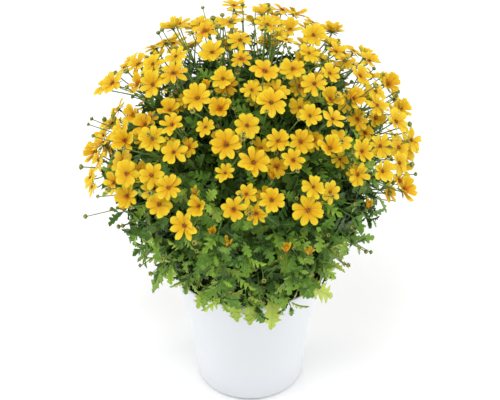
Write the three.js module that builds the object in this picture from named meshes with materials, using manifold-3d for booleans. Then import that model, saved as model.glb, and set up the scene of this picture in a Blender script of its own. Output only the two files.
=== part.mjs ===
// A potted bidens: a plain white plastic pot full of compost, leafy stems that fan out of it
// into a round bush, and sprays of yellow blooms that stand out of the leaves on thin stalks.
// Millimetres, +Z up. The origin is the middle of the underside of the pot, which stands on it.
// A turn of 0 degrees faces the front (-Y) and grows towards +X. A lift is the angle above the
// level of the middle of the bush.
import * as THREE from "three";
import { mergeVertices } from "three/addons/utils/BufferGeometryUtils.js";
import Module from "manifold-3d";

// Pot: a 19 cm pot, straight below and flared softly towards the rim
const POT_HEIGHT = 170;
const FOOT_RADIUS = 65;
const FOOT_CORNER = 8.5;
const POT_WALL = 2.2;
const POT_FLOOR = 3;
const WALL_LEAN = 0.105; // widening for each millimetre of height
const FLARE_START = 75; // height where the flare begins
const FLARE_AT_RIM = 12.7;
const FLARE_POWER = 1.35;
const LIP_ROUND = 0.8;
const POT_SIDES = 30;
const WALL_LEVELS = [78, 105, 130, 152]; // heights where the pot's wall and the compost have a ring
const DRAIN_HOLES = 4;
const DRAIN_RADIUS = 5;
const DRAIN_CIRCLE = 38;

// Compost and the plain holes that the stems stand in
const SOIL_TOP = 152;
const STEM_DEPTH = 14;
const STEM_RADIUS = 2.9; // to the corners of the square stem
const HOLE_RADIUS = 3.9;
const FIT_GAP = 0.35; // clear space between pieces that touch

// Bush: round, with its middle this high above the ground
const BUSH_HEIGHT = 291;
const FORK_RADIUS = 147; // where a flower stalk forks
const BLOOM_DOME = 188; // the blooms lie about this far from the middle
const LEVEL_LOW = -13; // a bloom's own level on the dome
const LEVEL_HIGH = 9;
const LEAF_MASS_FLOOR = 172; // the foliage starts above the rim
const LEAF_MASS_GAP = 2; // between neighbouring stems
const ROUGHNESS = 0.22; // how far the outline of the dense foliage wanders

// Leafy stems in three rings: how many, the turn of the first, where their foliage is centred
// (lift and distance from the middle of the bush), the radius of the bush that its dense inside
// fills, how far it reaches inwards, and how far from the axis the stem is rooted
const STEM_RINGS = [
  { count: 7, turn: 14, lift: -29, centre: 100, radius: 152, inward: 32, root: 57 },
  { count: 6, turn: -5, lift: 19, centre: 88, radius: 134, inward: 44, root: 33 },
  { count: 2, turn: 70, lift: 70, centre: 80, radius: 134, inward: 40, root: 14 },
];

// Sprays on the front half, as they stand in the photo: turn, lift and number of blooms
const FRONT_SPRAYS = [
  [-21, 15, 2], [1, 24, 4], [25, 24, 3], [-36, 23, 4], [-55, 18, 4],
  [-84, 8, 5], [53, 29, 4], [68, 13, 3], [82, 25, 4], [95, 5, 3],
  [-40, 43, 4], [-61, 37, 4], [-4, 45, 4], [18, 43, 3], [38, 45, 4],
  [-22, 54, 3], [-90, 46, 4], [-68, 58, 4], [8, 63, 4], [50, 60, 4],
  [-30, 75, 4], [80, 44, 4], [104, 27, 4], [104, 52, 4], [85, 68, 4],
];
// Even rows on the back half: lift, first turn, last turn and number of sprays
const BACK_ROWS = [[6, 118, 243, 6], [30, 127, 247, 6], [53, 131, 227, 4], [74, 140, 230, 2]];
const BACK_BLOOMS = 4;

// Blooms, buds and their stalks
const PETALS = 7;
const BLOOM_RADIUS_LOW = 14.5;
const BLOOM_RADIUS_HIGH = 18;
const NOTCH_SHARE = 0.42; // radius of the notch between two petals, as a share of the bloom's
const PETAL_HALF_ANGLE = 17;
const PETAL_RISE = 2.2; // how far the petal tips stand above the notches
const BLOOM_CROWN = 1.7; // height of the disc above the notches
const BLOOM_BACK = 2.4; // depth of the cup behind the bloom
const BLOOM_SPACING = 35.5; // between the middles of two blooms
const BLOOM_SCATTER = 0.12; // of a turn: how unevenly the blooms stand round their spray
const LEVEL_CREDIT = 0.6; // blooms on different levels may stand closer, by this much a millimetre
const LEVEL_CREDIT_MOST = 9;
const SETTLE_ROUNDS = 60;
const UP_LEAN = 0.25; // blooms turn a little to the light
const FACE_SCATTER = 0.3; // how unevenly they face
const STALK_RADIUS = 2.4;
const STALK_FOOT_RADIUS = 2;
const STALK_FOOT_SHIFT = 0.3; // how far the foot moves from its line to the middle of its facet
const PEDICEL_RADIUS = 0.95;
const BUD_LEVEL = 14; // above the dome of the blooms
const BUD_OUTS = [0, 3, 6, 9, 12, 15, 18]; // how far a bud may stand from the axis of its spray
const BUD_ROOM = 2.5; // it grows only where it has this much space beside the blooms
const BUD_RADIUS = 3;
const BUD_LENGTH = 8;
const BUD_WIDEST = 0.4; // where along its length a bud is widest

// Leaves: cut into lobes on both sides of the midrib
const LEAF_LENGTH_LOW = 40;
const LEAF_LENGTH_HIGH = 52;
const LEAF_ROOT = 2.2;
const LEAF_HALF_THICKNESS = 1.1;
// The outline of a leaf, in shares of its length
const LEAF_HALF_WIDTH = 0.36;
const LAST_LOBE_WIDTH = 0.8 * LEAF_HALF_WIDTH;
const LEAF_WAIST = 0.12; // half width between two lobes
const FIRST_LOBE = 0.3; // where the tip of the first lobe lies along the leaf
const LOBES_END = 1.02;
const LOBE_DEPTH = 0.08; // from the tip of a lobe to the notch that follows it
const MIDRIB_START = 0.2;
const MIDRIB_END = 0.9;
const LEAF_FOLD = 0.12;
const LEAF_ARCH = 0.2;
const LEAF_CLEARANCE = 0.35;
const SMALLEST_FACET = 4.5; // a facet with a smaller circle inside carries no leaf
const SURE_FACET = 22; // and one with a larger circle than this always has one, if there is room
const LIGHT_PULL = 0.5; // leaves crowd on facets that face up
const OUTER_FACET = -0.1; // leaves grow on facets that face outwards more than this, of 1
const LEAF_PAIRS = 2; // of lobes
const LEAF_CLIMBS = [28, 40, 55]; // degrees that a leaf may stand out of the bush, best first
const LEAF_WAYS = 6; // directions tried round the middle of a facet
const LEAST_CLIMB = 0.25; // and a leaf stands out of its facet by at least this, of 1
const RIM_LEAVES = 15;
const RIM_LEAF_TURN = 15; // turn of the large leaf that hangs over the front of the rim
const RIM_LEAF_LENGTH = 52;
const RIM_LEAF_AIM = [104, 196]; // distance from the axis and height that it is rooted near
const RIM_LEAF_SLOPE = -36;
const RIM_LEAF_PAIRS = 3;
const RIM_LEAF_SWINGS = [0, 12, -12, 24, -24]; // turned aside by this, where it is in the way
const RIM_LEAF_CLIMBS = [0, 12, 24]; // and raised by this

const WHITE_PLASTIC = new THREE.MeshStandardMaterial({ color: 0xeef0f2, roughness: 0.35, metalness: 0 });
const COMPOST = new THREE.MeshStandardMaterial({ color: 0x3b2a1e, roughness: 1, metalness: 0 });
const PETAL_YELLOW = new THREE.MeshStandardMaterial({
  color: 0xf6c91f, roughness: 0.6, metalness: 0, flatShading: true,
});
const LEAF_GREEN = new THREE.MeshStandardMaterial({
  color: 0x5f8f34, roughness: 0.65, metalness: 0, flatShading: true,
});

const UP = new THREE.Vector3(0, 0, 1);
const BUSH_MIDDLE = new THREE.Vector3(0, 0, BUSH_HEIGHT);
const radians = THREE.MathUtils.degToRad;
const wasm = await Module();
wasm.setup();

// Repeatable draw between 0 and 1 for thing number `thing` and quality number `quality`
function draw(thing, quality) {
  const wave = Math.sin(thing * 12.9898 + quality * 78.233) * 43758.5453;
  return wave - Math.floor(wave);
}

function drawBetween(low, high, thing, quality) {
  return low + (high - low) * draw(thing, quality);
}

// Unit vector of a turn and a lift in degrees
function towards(turn, lift) {
  const level = Math.cos(radians(lift));
  return new THREE.Vector3(
    Math.sin(radians(turn)) * level,
    -Math.cos(radians(turn)) * level,
    Math.sin(radians(lift)),
  );
}

// Point at a distance from the middle of the bush
function fromMiddle(direction, distance) {
  return BUSH_MIDDLE.clone().addScaledVector(direction, distance);
}

// Two unit vectors across a direction, which make a right-handed frame with it
function across(direction) {
  const hint = Math.abs(direction.z) > 0.95 ? new THREE.Vector3(0, -1, 0) : UP;
  const side = new THREE.Vector3().crossVectors(hint, direction).normalize();
  return [side, new THREE.Vector3().crossVectors(direction, side)];
}

// Solids

function solidFromGeometry(geometry) {
  const bare = new THREE.BufferGeometry();
  bare.setAttribute("position", geometry.getAttribute("position"));
  bare.setIndex(geometry.getIndex());
  const merged = mergeVertices(bare, 1e-4);
  return new wasm.Manifold(new wasm.Mesh({
    numProp: 3,
    vertProperties: new Float32Array(merged.getAttribute("position").array),
    triVerts: new Uint32Array(merged.getIndex().array),
  }));
}

function geometryFromSolid(solid) {
  const mesh = solid.getMesh();
  const geometry = new THREE.BufferGeometry();
  geometry.setAttribute("position", new THREE.BufferAttribute(mesh.vertProperties, 3));
  geometry.setIndex(new THREE.BufferAttribute(mesh.triVerts, 1));
  return geometry;
}

// A closed skin of points and triangles, for what grows in one piece
class Skin {
  constructor() {
    this.points = [];
    this.corners = [];
  }

  point(position) {
    return this.points.push(position) - 1;
  }

  face(a, b, c) {
    this.corners.push(a, b, c);
  }

  // The wall between two rings of the same number of points
  wall(lower, upper) {
    lower.forEach((corner, i) => {
      const next = (i + 1) % lower.length;
      this.face(corner, lower[next], upper[next]);
      this.face(corner, upper[next], upper[i]);
    });
  }

  solid() {
    const geometry = new THREE.BufferGeometry().setFromPoints(this.points);
    geometry.setIndex(this.corners);
    return solidFromGeometry(geometry);
  }
}

// Pot

function wallRadius(height) {
  const flare = Math.max(0, (height - FLARE_START) / (POT_HEIGHT - FLARE_START));
  return FOOT_RADIUS + WALL_LEAN * (height - FOOT_CORNER) + FLARE_AT_RIM * flare ** FLARE_POWER;
}

function potSolid() {
  const outline = new THREE.Path();
  outline.moveTo(0, 0);
  outline.lineTo(FOOT_RADIUS - FOOT_CORNER, 0);
  outline.absarc(FOOT_RADIUS - FOOT_CORNER, FOOT_CORNER, FOOT_CORNER, -Math.PI / 2, 0);
  WALL_LEVELS.forEach((height) => outline.lineTo(wallRadius(height), height));
  outline.lineTo(wallRadius(POT_HEIGHT), POT_HEIGHT - LIP_ROUND);
  outline.lineTo(wallRadius(POT_HEIGHT) - LIP_ROUND, POT_HEIGHT);
  outline.lineTo(wallRadius(POT_HEIGHT) - POT_WALL, POT_HEIGHT);
  [...WALL_LEVELS].reverse().forEach((height) => outline.lineTo(wallRadius(height) - POT_WALL, height));
  outline.lineTo(wallRadius(FOOT_CORNER) - POT_WALL, FOOT_CORNER);
  outline.lineTo(FOOT_RADIUS - FOOT_CORNER, POT_FLOOR);
  outline.lineTo(0, POT_FLOOR);
  const turned = new THREE.LatheGeometry(outline.getPoints(2), POT_SIDES);
  let solid = solidFromGeometry(turned.rotateX(Math.PI / 2));
  for (let i = 0; i < DRAIN_HOLES; i++) {
    const hole = new THREE.CylinderGeometry(DRAIN_RADIUS, DRAIN_RADIUS, 4 * POT_FLOOR, 8);
    hole.rotateX(Math.PI / 2);
    hole.translate(DRAIN_CIRCLE, 0, 0);
    hole.rotateZ(((i + 0.5) / DRAIN_HOLES) * 2 * Math.PI);
    solid = solid.subtract(solidFromGeometry(hole));
  }
  return solid;
}

// Compost: fills the pot, a little clear of its wall

function soilSolid(stems) {
  const inset = POT_WALL + FIT_GAP;
  const outline = new THREE.Path();
  outline.moveTo(0, POT_FLOOR + FIT_GAP);
  outline.lineTo(FOOT_RADIUS - FOOT_CORNER - 1, POT_FLOOR + FIT_GAP);
  outline.lineTo(wallRadius(FOOT_CORNER) - inset - FIT_GAP, FOOT_CORNER + 1);
  WALL_LEVELS.forEach((height) => outline.lineTo(wallRadius(height) - inset, height));
  outline.lineTo(0, SOIL_TOP);
  const turned = new THREE.LatheGeometry(outline.getPoints(), POT_SIDES);
  let solid = solidFromGeometry(turned.rotateX(Math.PI / 2));
  const holeTop = SOIL_TOP + FIT_GAP;
  const holeBottom = SOIL_TOP - STEM_DEPTH - FIT_GAP;
  stems.forEach((stem) => {
    const hole = new THREE.CylinderGeometry(HOLE_RADIUS, HOLE_RADIUS, holeTop - holeBottom, 6);
    hole.rotateX(Math.PI / 2);
    hole.translate(stem.foot.x, stem.foot.y, (holeTop + holeBottom) / 2);
    solid = solid.subtract(solidFromGeometry(hole));
  });
  return solid;
}

// Where the stems, the sprays and the blooms stand

function layOutStems() {
  const stems = [];
  STEM_RINGS.forEach((ring) => {
    for (let i = 0; i < ring.count; i++) {
      const turn = ring.turn + (360 * i) / ring.count;
      const foot = towards(turn, 0).multiplyScalar(ring.root);
      foot.z = SOIL_TOP - STEM_DEPTH;
      const centre = fromMiddle(towards(turn, ring.lift), ring.centre);
      stems.push({ number: stems.length, ring, foot, centre });
    }
  });
  return stems;
}

function nearestStem(stems, point) {
  return stems.reduce((best, stem) =>
    stem.centre.distanceTo(point) < best.centre.distanceTo(point) ? stem : best);
}

function layOutSprays() {
  const places = FRONT_SPRAYS.map(([turn, lift, blooms]) => ({ turn, lift, blooms }));
  BACK_ROWS.forEach(([lift, first, last, count]) => {
    for (let i = 0; i < count; i++) {
      places.push({ turn: first + ((last - first) * i) / (count - 1), lift, blooms: BACK_BLOOMS });
    }
  });
  return places.map((place, number) => ({
    number, direction: towards(place.turn, place.lift), count: place.blooms, blooms: [],
  }));
}

// The blooms of a spray stand in a ring round its axis, each on its own level
function layOutBlooms(sprays) {
  const blooms = [];
  sprays.forEach((spray) => {
    const [side, rise] = across(spray.direction);
    const ringRadius = BLOOM_SPACING / (2 * Math.sin(Math.PI / spray.count));
    for (let i = 0; i < spray.count; i++) {
      const number = blooms.length;
      const share = i / spray.count + draw(spray.number, 1) + BLOOM_SCATTER * draw(number, 2);
      const angle = 2 * Math.PI * share;
      const direction = spray.direction.clone().multiplyScalar(BLOOM_DOME)
        .addScaledVector(side, ringRadius * Math.cos(angle))
        .addScaledVector(rise, ringRadius * Math.sin(angle))
        .normalize();
      const bloom = { number, direction, level: drawBetween(LEVEL_LOW, LEVEL_HIGH, number, 3) };
      bloom.radius = drawBetween(BLOOM_RADIUS_LOW, BLOOM_RADIUS_HIGH, number, 4);
      spray.blooms.push(bloom);
      blooms.push(bloom);
    }
  });
  settle(blooms);
  blooms.forEach((bloom) => {
    bloom.centre = fromMiddle(bloom.direction, BLOOM_DOME + bloom.level);
    const scatter = new THREE.Vector3(draw(bloom.number, 5) - 0.5, draw(bloom.number, 6) - 0.5, 0);
    bloom.normal = bloom.direction.clone()
      .addScaledVector(UP, UP_LEAN)
      .addScaledVector(scatter, FACE_SCATTER)
      .normalize();
  });
}

// Blooms that stand too close push each other aside, as they do when they open
function settle(blooms) {
  for (let round = 0; round < SETTLE_ROUNDS; round++) {
    blooms.forEach((one, i) => blooms.slice(i + 1).forEach((other) => {
      const apart = one.direction.clone().sub(other.direction).multiplyScalar(BLOOM_DOME);
      const credit = LEVEL_CREDIT * Math.min(Math.abs(one.level - other.level), LEVEL_CREDIT_MOST);
      const missing = BLOOM_SPACING - credit - apart.length();
      if (missing <= 0) return;
      apart.setLength(missing / 2 / BLOOM_DOME);
      one.direction.add(apart).normalize();
      other.direction.sub(apart).normalize();
    }));
  }
}

// Dense foliage of one stem: it fills the stem's share of the bush, out to the bush's outline,
// down to the rim and up to a gap from its neighbours, with a rough surface

function leafMassReach(stem, stems, ray, rough) {
  const offset = stem.centre.clone().sub(BUSH_MIDDLE);
  const along = offset.dot(ray);
  let reach = -along + Math.sqrt(along * along + stem.ring.radius ** 2 - offset.lengthSq());
  stems.filter((other) => other !== stem).forEach((other) => {
    const between = other.centre.clone().sub(stem.centre);
    const facing = ray.dot(between) / between.length();
    if (facing > 1e-6) reach = Math.min(reach, (between.length() - LEAF_MASS_GAP) / 2 / facing);
  });
  const inwards = -ray.dot(new THREE.Vector3(stem.centre.x, stem.centre.y, 0).normalize());
  if (inwards > 0.2) reach = Math.min(reach, stem.ring.inward / inwards);
  reach *= rough;
  return ray.z < 0 ? Math.min(reach, (stem.centre.z - LEAF_MASS_FLOOR) / -ray.z) : reach;
}

function growLeafMass(stem, stems) {
  const ball = new THREE.IcosahedronGeometry(1, 1);
  ball.deleteAttribute("normal");
  ball.deleteAttribute("uv");
  const round = mergeVertices(ball);
  const places = round.getAttribute("position");
  const skin = new Skin();
  for (let i = 0; i < places.count; i++) {
    const ray = new THREE.Vector3().fromBufferAttribute(places, i).normalize();
    const rough = 1 - ROUGHNESS * draw(stem.number * 50 + i, 7);
    skin.point(stem.centre.clone().addScaledVector(ray, leafMassReach(stem, stems, ray, rough)));
  }
  const index = round.getIndex();
  for (let i = 0; i < index.count; i += 3) skin.face(index.getX(i), index.getX(i + 1), index.getX(i + 2));
  stem.skin = skin;
  stem.facets = [];
  for (let i = 0; i < index.count; i += 3) {
    const corners = skin.corners.slice(i, i + 3);
    const shape = new THREE.Triangle(...corners.map((corner) => skin.points[corner]));
    const rim = [["a", "b"], ["b", "c"], ["c", "a"]]
      .reduce((sum, [from, to]) => sum + shape[from].distanceTo(shape[to]), 0);
    stem.facets.push({ corners, shape, inside: (2 * shape.getArea()) / rim, taken: false, leaf: null });
  }
}

// Where the line from the stem's middle to a target leaves its dense foliage
function surfaceTowards(stem, target) {
  const ray = new THREE.Ray(stem.centre, target.clone().sub(stem.centre).normalize());
  for (const facet of stem.facets) {
    const { a, b, c } = facet.shape;
    const hit = ray.intersectTriangle(a, b, c, false, new THREE.Vector3());
    if (hit) return { hit, facet };
  }
  throw new Error("no surface towards the target");
}

function stemSolid(stem) {
  const { foot, centre, ring } = stem;
  const outward = new THREE.Vector3(centre.x, centre.y, 0).normalize();
  const neck = outward.clone().multiplyScalar(ring.root + 4);
  neck.z = (SOIL_TOP + centre.z) / 2;
  const path = new THREE.CatmullRomCurve3([
    foot,
    foot.clone().setZ(SOIL_TOP + 8),
    neck,
    centre,
  ]);
  const square = new THREE.Shape();
  for (let i = 0; i < 4; i++) {
    square.lineTo(STEM_RADIUS * Math.cos((i * Math.PI) / 2), STEM_RADIUS * Math.sin((i * Math.PI) / 2));
  }
  return solidFromGeometry(
    new THREE.ExtrudeGeometry(square, { steps: 3, extrudePath: path, bevelEnabled: false }),
  );
}

// A leaf with `pairs` pairs of lobes: one thin blade, thickest along its midrib, which grows
// from a small triangle in a facet. `facing` is the side that its upper face looks to, and
// `spare` makes it thicker, to try whether there is room for it.

function leafRoot(skin, facet, growth, facing, spare) {
  const middle = facet.shape.getMidpoint(new THREE.Vector3());
  const normal = facet.shape.getNormal(new THREE.Vector3());
  const side = new THREE.Vector3().crossVectors(growth, facing).projectOnPlane(normal);
  side.setLength(LEAF_ROOT + spare);
  const under = new THREE.Vector3().crossVectors(side, normal).negate();
  return [
    skin.point(middle.clone().add(under)),
    skin.point(middle.clone().sub(side)),
    skin.point(middle.clone().add(side)),
  ];
}

function growBlade(skin, root, facet, leaf, spare) {
  const { growth, facing, length, pairs } = leaf;
  const base = facet.shape.getMidpoint(new THREE.Vector3());
  const side = new THREE.Vector3().crossVectors(growth, facing).normalize();
  const face = new THREE.Vector3().crossVectors(side, growth);
  const half = LEAF_HALF_THICKNESS + spare;
  const place = (along, aside, up) => skin.point(base.clone()
    .addScaledVector(growth, along * length)
    .addScaledVector(side, aside * length * (1 + spare / 10))
    .addScaledVector(face, (LEAF_FOLD * Math.abs(aside) - LEAF_ARCH * along * along) * length + up));
  const tip = place(1, 0, 0);
  const ribs = [];
  for (let i = 0; i < pairs; i++) {
    const along = MIDRIB_START + ((MIDRIB_END - MIDRIB_START) * i) / pairs;
    ribs.push([place(along, 0, half), place(along, 0, -half)]);
  }
  const [under, left, right] = root;
  skin.face(left, right, ribs[0][0]);
  skin.face(under, left, ribs[0][1]);
  skin.face(right, under, ribs[0][1]);
  [[right, 1], [left, -1]].forEach(([start, hand]) => {
    const edge = [start];
    for (let i = 0; i < pairs; i++) {
      const spread = i === pairs - 1 ? LAST_LOBE_WIDTH : LEAF_HALF_WIDTH;
      const along = FIRST_LOBE + ((LOBES_END - FIRST_LOBE) * i) / pairs;
      edge.push(place(along, hand * spread, 0));
      edge.push(place(along + LOBE_DEPTH, hand * LEAF_WAIST, 0));
    }
    [0, 1].forEach((lower) => {
      const outwards = (hand > 0) === (lower === 0);
      const patch = (a, b, c) => (outwards ? skin.face(a, b, c) : skin.face(a, c, b));
      for (let i = 0; i < pairs; i++) {
        const rib = ribs[i][lower];
        patch(edge[2 * i], edge[2 * i + 1], rib);
        patch(edge[2 * i + 1], edge[2 * i + 2], rib);
        if (i < pairs - 1) patch(edge[2 * i + 2], ribs[i + 1][lower], rib);
      }
      patch(edge[2 * pairs], tip, ribs[pairs - 1][lower]);
    });
  });
}

function leafSolid(facet, leaf, spare) {
  const skin = new Skin();
  const root = leafRoot(skin, facet, leaf.growth, leaf.facing, spare);
  skin.face(root[0], root[2], root[1]);
  growBlade(skin, root, facet, leaf, spare);
  return skin.solid();
}

// The dense foliage with its leaves, each grown out of its facet, and the stem that carries them
function leafyStemSolid(stem) {
  const { skin } = stem;
  skin.corners = [];
  stem.facets.forEach((facet) => {
    if (facet.leaf) {
      const root = leafRoot(skin, facet, facet.leaf.growth, facet.leaf.facing, 0);
      skin.wall(facet.corners, untwisted(skin, facet.corners, root));
      growBlade(skin, root, facet, facet.leaf, 0);
    } else skin.face(...facet.corners);
  });
  return skin.solid().add(stem.stalk);
}

// Sprays

function petalOutline(bloom, side, rise, spin) {
  const outline = [];
  for (let i = 0; i < PETALS; i++) {
    [[-PETAL_HALF_ANGLE, 1, 1], [PETAL_HALF_ANGLE, 1, 1], [180 / PETALS, NOTCH_SHARE, 0]]
      .forEach(([offset, share, tip]) => {
        const angle = spin + radians((360 * i) / PETALS + offset);
        outline.push(bloom.centre.clone()
          .addScaledVector(side, bloom.radius * share * Math.cos(angle))
          .addScaledVector(rise, bloom.radius * share * Math.sin(angle))
          .addScaledVector(bloom.normal, PETAL_RISE * tip));
      });
  }
  return outline;
}

// Starts the upper ring where it twists the wall least
function untwisted(skin, lower, upper) {
  const twist = (start) => lower.reduce((sum, corner, i) =>
    sum + skin.points[corner].distanceTo(skin.points[upper[(start + i) % upper.length]]), 0);
  const start = upper.map((_, i) => i).reduce((best, i) => (twist(i) < twist(best) ? i : best), 0);
  return [...upper.slice(start), ...upper.slice(0, start)];
}

// The angle at which a ring has to start to lie square over the first corner of its root
function angleOver(skin, root, side, rise) {
  const middle = root.reduce((sum, corner) => sum.add(skin.points[corner]), new THREE.Vector3())
    .divideScalar(root.length);
  const spoke = skin.points[root[0]].clone().sub(middle);
  return Math.atan2(spoke.dot(rise), spoke.dot(side));
}

function threeRound(skin, centre, side, rise, radius, start) {
  return [0, 1, 2].map((i) => {
    const angle = start + (2 * Math.PI * i) / 3;
    return skin.point(centre.clone()
      .addScaledVector(side, radius * Math.cos(angle))
      .addScaledVector(rise, radius * Math.sin(angle)));
  });
}

function growBloom(skin, root, bloom) {
  const [side, rise] = across(bloom.normal);
  const start = angleOver(skin, root, side, rise);
  const back = bloom.centre.clone().addScaledVector(bloom.normal, -BLOOM_BACK);
  const cup = threeRound(skin, back, side, rise, PEDICEL_RADIUS, start);
  skin.wall(root, cup);
  const spin = start - Math.PI / 3;
  const outline = petalOutline(bloom, side, rise, spin).map((point) => skin.point(point));
  const disc = skin.point(bloom.centre.clone().addScaledVector(bloom.normal, BLOOM_CROWN));
  outline.forEach((corner, i) => {
    const next = outline[(i + 1) % outline.length];
    const holder = Math.floor(i / PETALS);
    skin.face(disc, corner, next);
    skin.face(cup[holder], next, corner);
    if ((i + 1) % PETALS === 0) skin.face(cup[holder], cup[(holder + 1) % 3], next);
  });
}

function growBud(skin, root, spray) {
  const start = angleOver(skin, root, spray.side, spray.rise);
  const foot = fromMiddle(spray.direction, BLOOM_DOME + BUD_LEVEL - BUD_LENGTH)
    .addScaledVector(spray.side, spray.budOut * Math.cos(spray.budAngle))
    .addScaledVector(spray.rise, spray.budOut * Math.sin(spray.budAngle));
  const neck = threeRound(skin, foot, spray.side, spray.rise, PEDICEL_RADIUS, start);
  skin.wall(root, neck);
  const bulge = foot.clone().addScaledVector(spray.direction, BUD_WIDEST * BUD_LENGTH);
  const belly = threeRound(skin, bulge, spray.side, spray.rise, BUD_RADIUS, start);
  skin.wall(neck, belly);
  const tip = skin.point(foot.clone().addScaledVector(spray.direction, BUD_LENGTH));
  belly.forEach((corner, i) => skin.face(corner, belly[(i + 1) % 3], tip));
}

// The blooms of a spray in order round its fork, with a bud in the widest gap where there is room
function headsOf(spray, fork) {
  const { side, rise } = spray;
  const heads = spray.blooms.map((bloom) => {
    const offset = bloom.centre.clone().sub(fork);
    return { bloom, angle: Math.atan2(offset.dot(rise), offset.dot(side)) };
  }).sort((one, other) => one.angle - other.angle);
  const gaps = heads.map((head, i) => {
    const next = heads[(i + 1) % heads.length].angle + (i === heads.length - 1 ? 2 * Math.PI : 0);
    return next - head.angle;
  });
  const widest = gaps.indexOf(Math.max(...gaps));
  const budAngle = heads[widest].angle + gaps[widest] / 2;
  const room = (out) => Math.min(...spray.blooms.map((bloom) => {
    const bud = fromMiddle(spray.direction, BLOOM_DOME)
      .addScaledVector(side, out * Math.cos(budAngle))
      .addScaledVector(rise, out * Math.sin(budAngle));
    return fromMiddle(bloom.direction, BLOOM_DOME).distanceTo(bud) - bloom.radius;
  }));
  const budOut = BUD_OUTS.reduce((best, out) => (room(out) > room(best) ? out : best));
  if (room(budOut) > BUD_ROOM || heads.length < 3) heads.splice(widest + 1, 0, { angle: budAngle });
  Object.assign(spray, { budAngle, budOut });
  return heads;
}

// One spray: a short stalk on the foliage, which forks into a stalk for each bloom and bud
function spraySolid(spray, stems) {
  const [side, rise] = across(spray.direction);
  Object.assign(spray, { side, rise });
  const fork = fromMiddle(spray.direction, FORK_RADIUS);
  const { hit, facet } = surfaceTowards(nearestStem(stems, fork), fork);
  facet.taken = true;
  const normal = facet.shape.getNormal(new THREE.Vector3());
  const foot = hit.lerp(facet.shape.getMidpoint(new THREE.Vector3()), STALK_FOOT_SHIFT)
    .addScaledVector(normal, FIT_GAP);
  const heads = headsOf(spray, fork);
  const edges = heads.map((head, i) => {
    const before = heads[(i + heads.length - 1) % heads.length].angle - (i === 0 ? 2 * Math.PI : 0);
    return (before + head.angle) / 2;
  });
  const skin = new Skin();
  const ringAt = (centre, radius, flat) => edges.map((angle) => {
    const spoke = side.clone().multiplyScalar(Math.cos(angle)).addScaledVector(rise, Math.sin(angle));
    if (flat) spoke.projectOnPlane(flat);
    return skin.point(centre.clone().addScaledVector(spoke, radius));
  });
  const lower = ringAt(foot, STALK_FOOT_RADIUS, normal);
  const upper = ringAt(fork, STALK_RADIUS, null);
  const top = skin.point(fork.clone().addScaledVector(spray.direction, STALK_RADIUS));
  skin.wall(lower, upper);
  for (let i = 1; i < lower.length - 1; i++) skin.face(lower[0], lower[i + 1], lower[i]);
  heads.forEach((head, i) => {
    const root = [upper[i], upper[(i + 1) % upper.length], top];
    if (head.bloom) growBloom(skin, root, head.bloom);
    else growBud(skin, root, spray);
  });
  return skin.solid();
}

// Leaves: each grows where it is clear of every other stem, spray and leaf

function overlaps(one, other) {
  const [a, b] = [one.boundingBox(), other.boundingBox()];
  const apart = [0, 1, 2].some((i) => a.max[i] < b.min[i] || b.max[i] < a.min[i]);
  return !apart && one.intersect(other).volume() > 1e-3;
}

function growLeaf(facet, neighbours, length, pairs, tries) {
  if (facet.taken || facet.inside < SMALLEST_FACET) return;
  const normal = facet.shape.getNormal(new THREE.Vector3());
  for (const { growth, facing } of tries) {
    const leaf = { growth, facing, length, pairs };
    if (growth.dot(normal) < LEAST_CLIMB) continue;
    const wide = leafSolid(facet, leaf, LEAF_CLEARANCE);
    if (neighbours.some((solid) => overlaps(wide, solid))) continue;
    neighbours.push(leafSolid(facet, leaf, 0));
    facet.leaf = leaf;
    facet.taken = true;
    return;
  }
}

// Large leaves hang over the rim of the pot
function growRimLeaves(stems, solids) {
  for (let i = 0; i < RIM_LEAVES; i++) {
    const turn = RIM_LEAF_TURN + (360 * i) / RIM_LEAVES;
    const aim = towards(turn, 0).multiplyScalar(RIM_LEAF_AIM[0]).setZ(RIM_LEAF_AIM[1]);
    const { facet } = surfaceTowards(nearestStem(stems, aim), aim);
    const tries = RIM_LEAF_SWINGS.flatMap((swing) => RIM_LEAF_CLIMBS.map((climb) => ({
      growth: towards(turn + swing, RIM_LEAF_SLOPE + climb),
      facing: towards(turn + swing, 90 + RIM_LEAF_SLOPE + climb),
    })));
    growLeaf(facet, solids, RIM_LEAF_LENGTH, RIM_LEAF_PAIRS, tries);
  }
}

// Smaller ones stand out of the bush all round
function growBushLeaves(stems, solids) {
  stems.forEach((stem) => stem.facets.forEach((facet, i) => {
    const number = stem.number * 80 + i;
    const outward = facet.shape.getMidpoint(new THREE.Vector3()).sub(BUSH_MIDDLE).normalize();
    const normal = facet.shape.getNormal(new THREE.Vector3());
    const light = 1 + LIGHT_PULL * normal.z;
    if (normal.dot(outward) < OUTER_FACET || draw(number, 9) * SURE_FACET > facet.inside * light) return;
    const [side, rise] = across(outward);
    const tries = [];
    LEAF_CLIMBS.forEach((climb) => {
      for (let way = 0; way < LEAF_WAYS; way++) {
        const angle = 2 * Math.PI * (draw(number, 11) + way / LEAF_WAYS);
        const growth = side.clone().multiplyScalar(Math.cos(angle)).addScaledVector(rise, Math.sin(angle))
          .multiplyScalar(Math.cos(radians(climb)))
          .addScaledVector(outward, Math.sin(radians(climb)));
        tries.push({ growth, facing: outward });
      }
    });
    const length = drawBetween(LEAF_LENGTH_LOW, LEAF_LENGTH_HIGH, number, 10);
    growLeaf(facet, solids, length, LEAF_PAIRS, tries);
  }));
}

// The plant, piece by piece

function meshOf(solid, material, name) {
  const mesh = new THREE.Mesh(geometryFromSolid(solid), material);
  mesh.name = name;
  return mesh;
}

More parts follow.
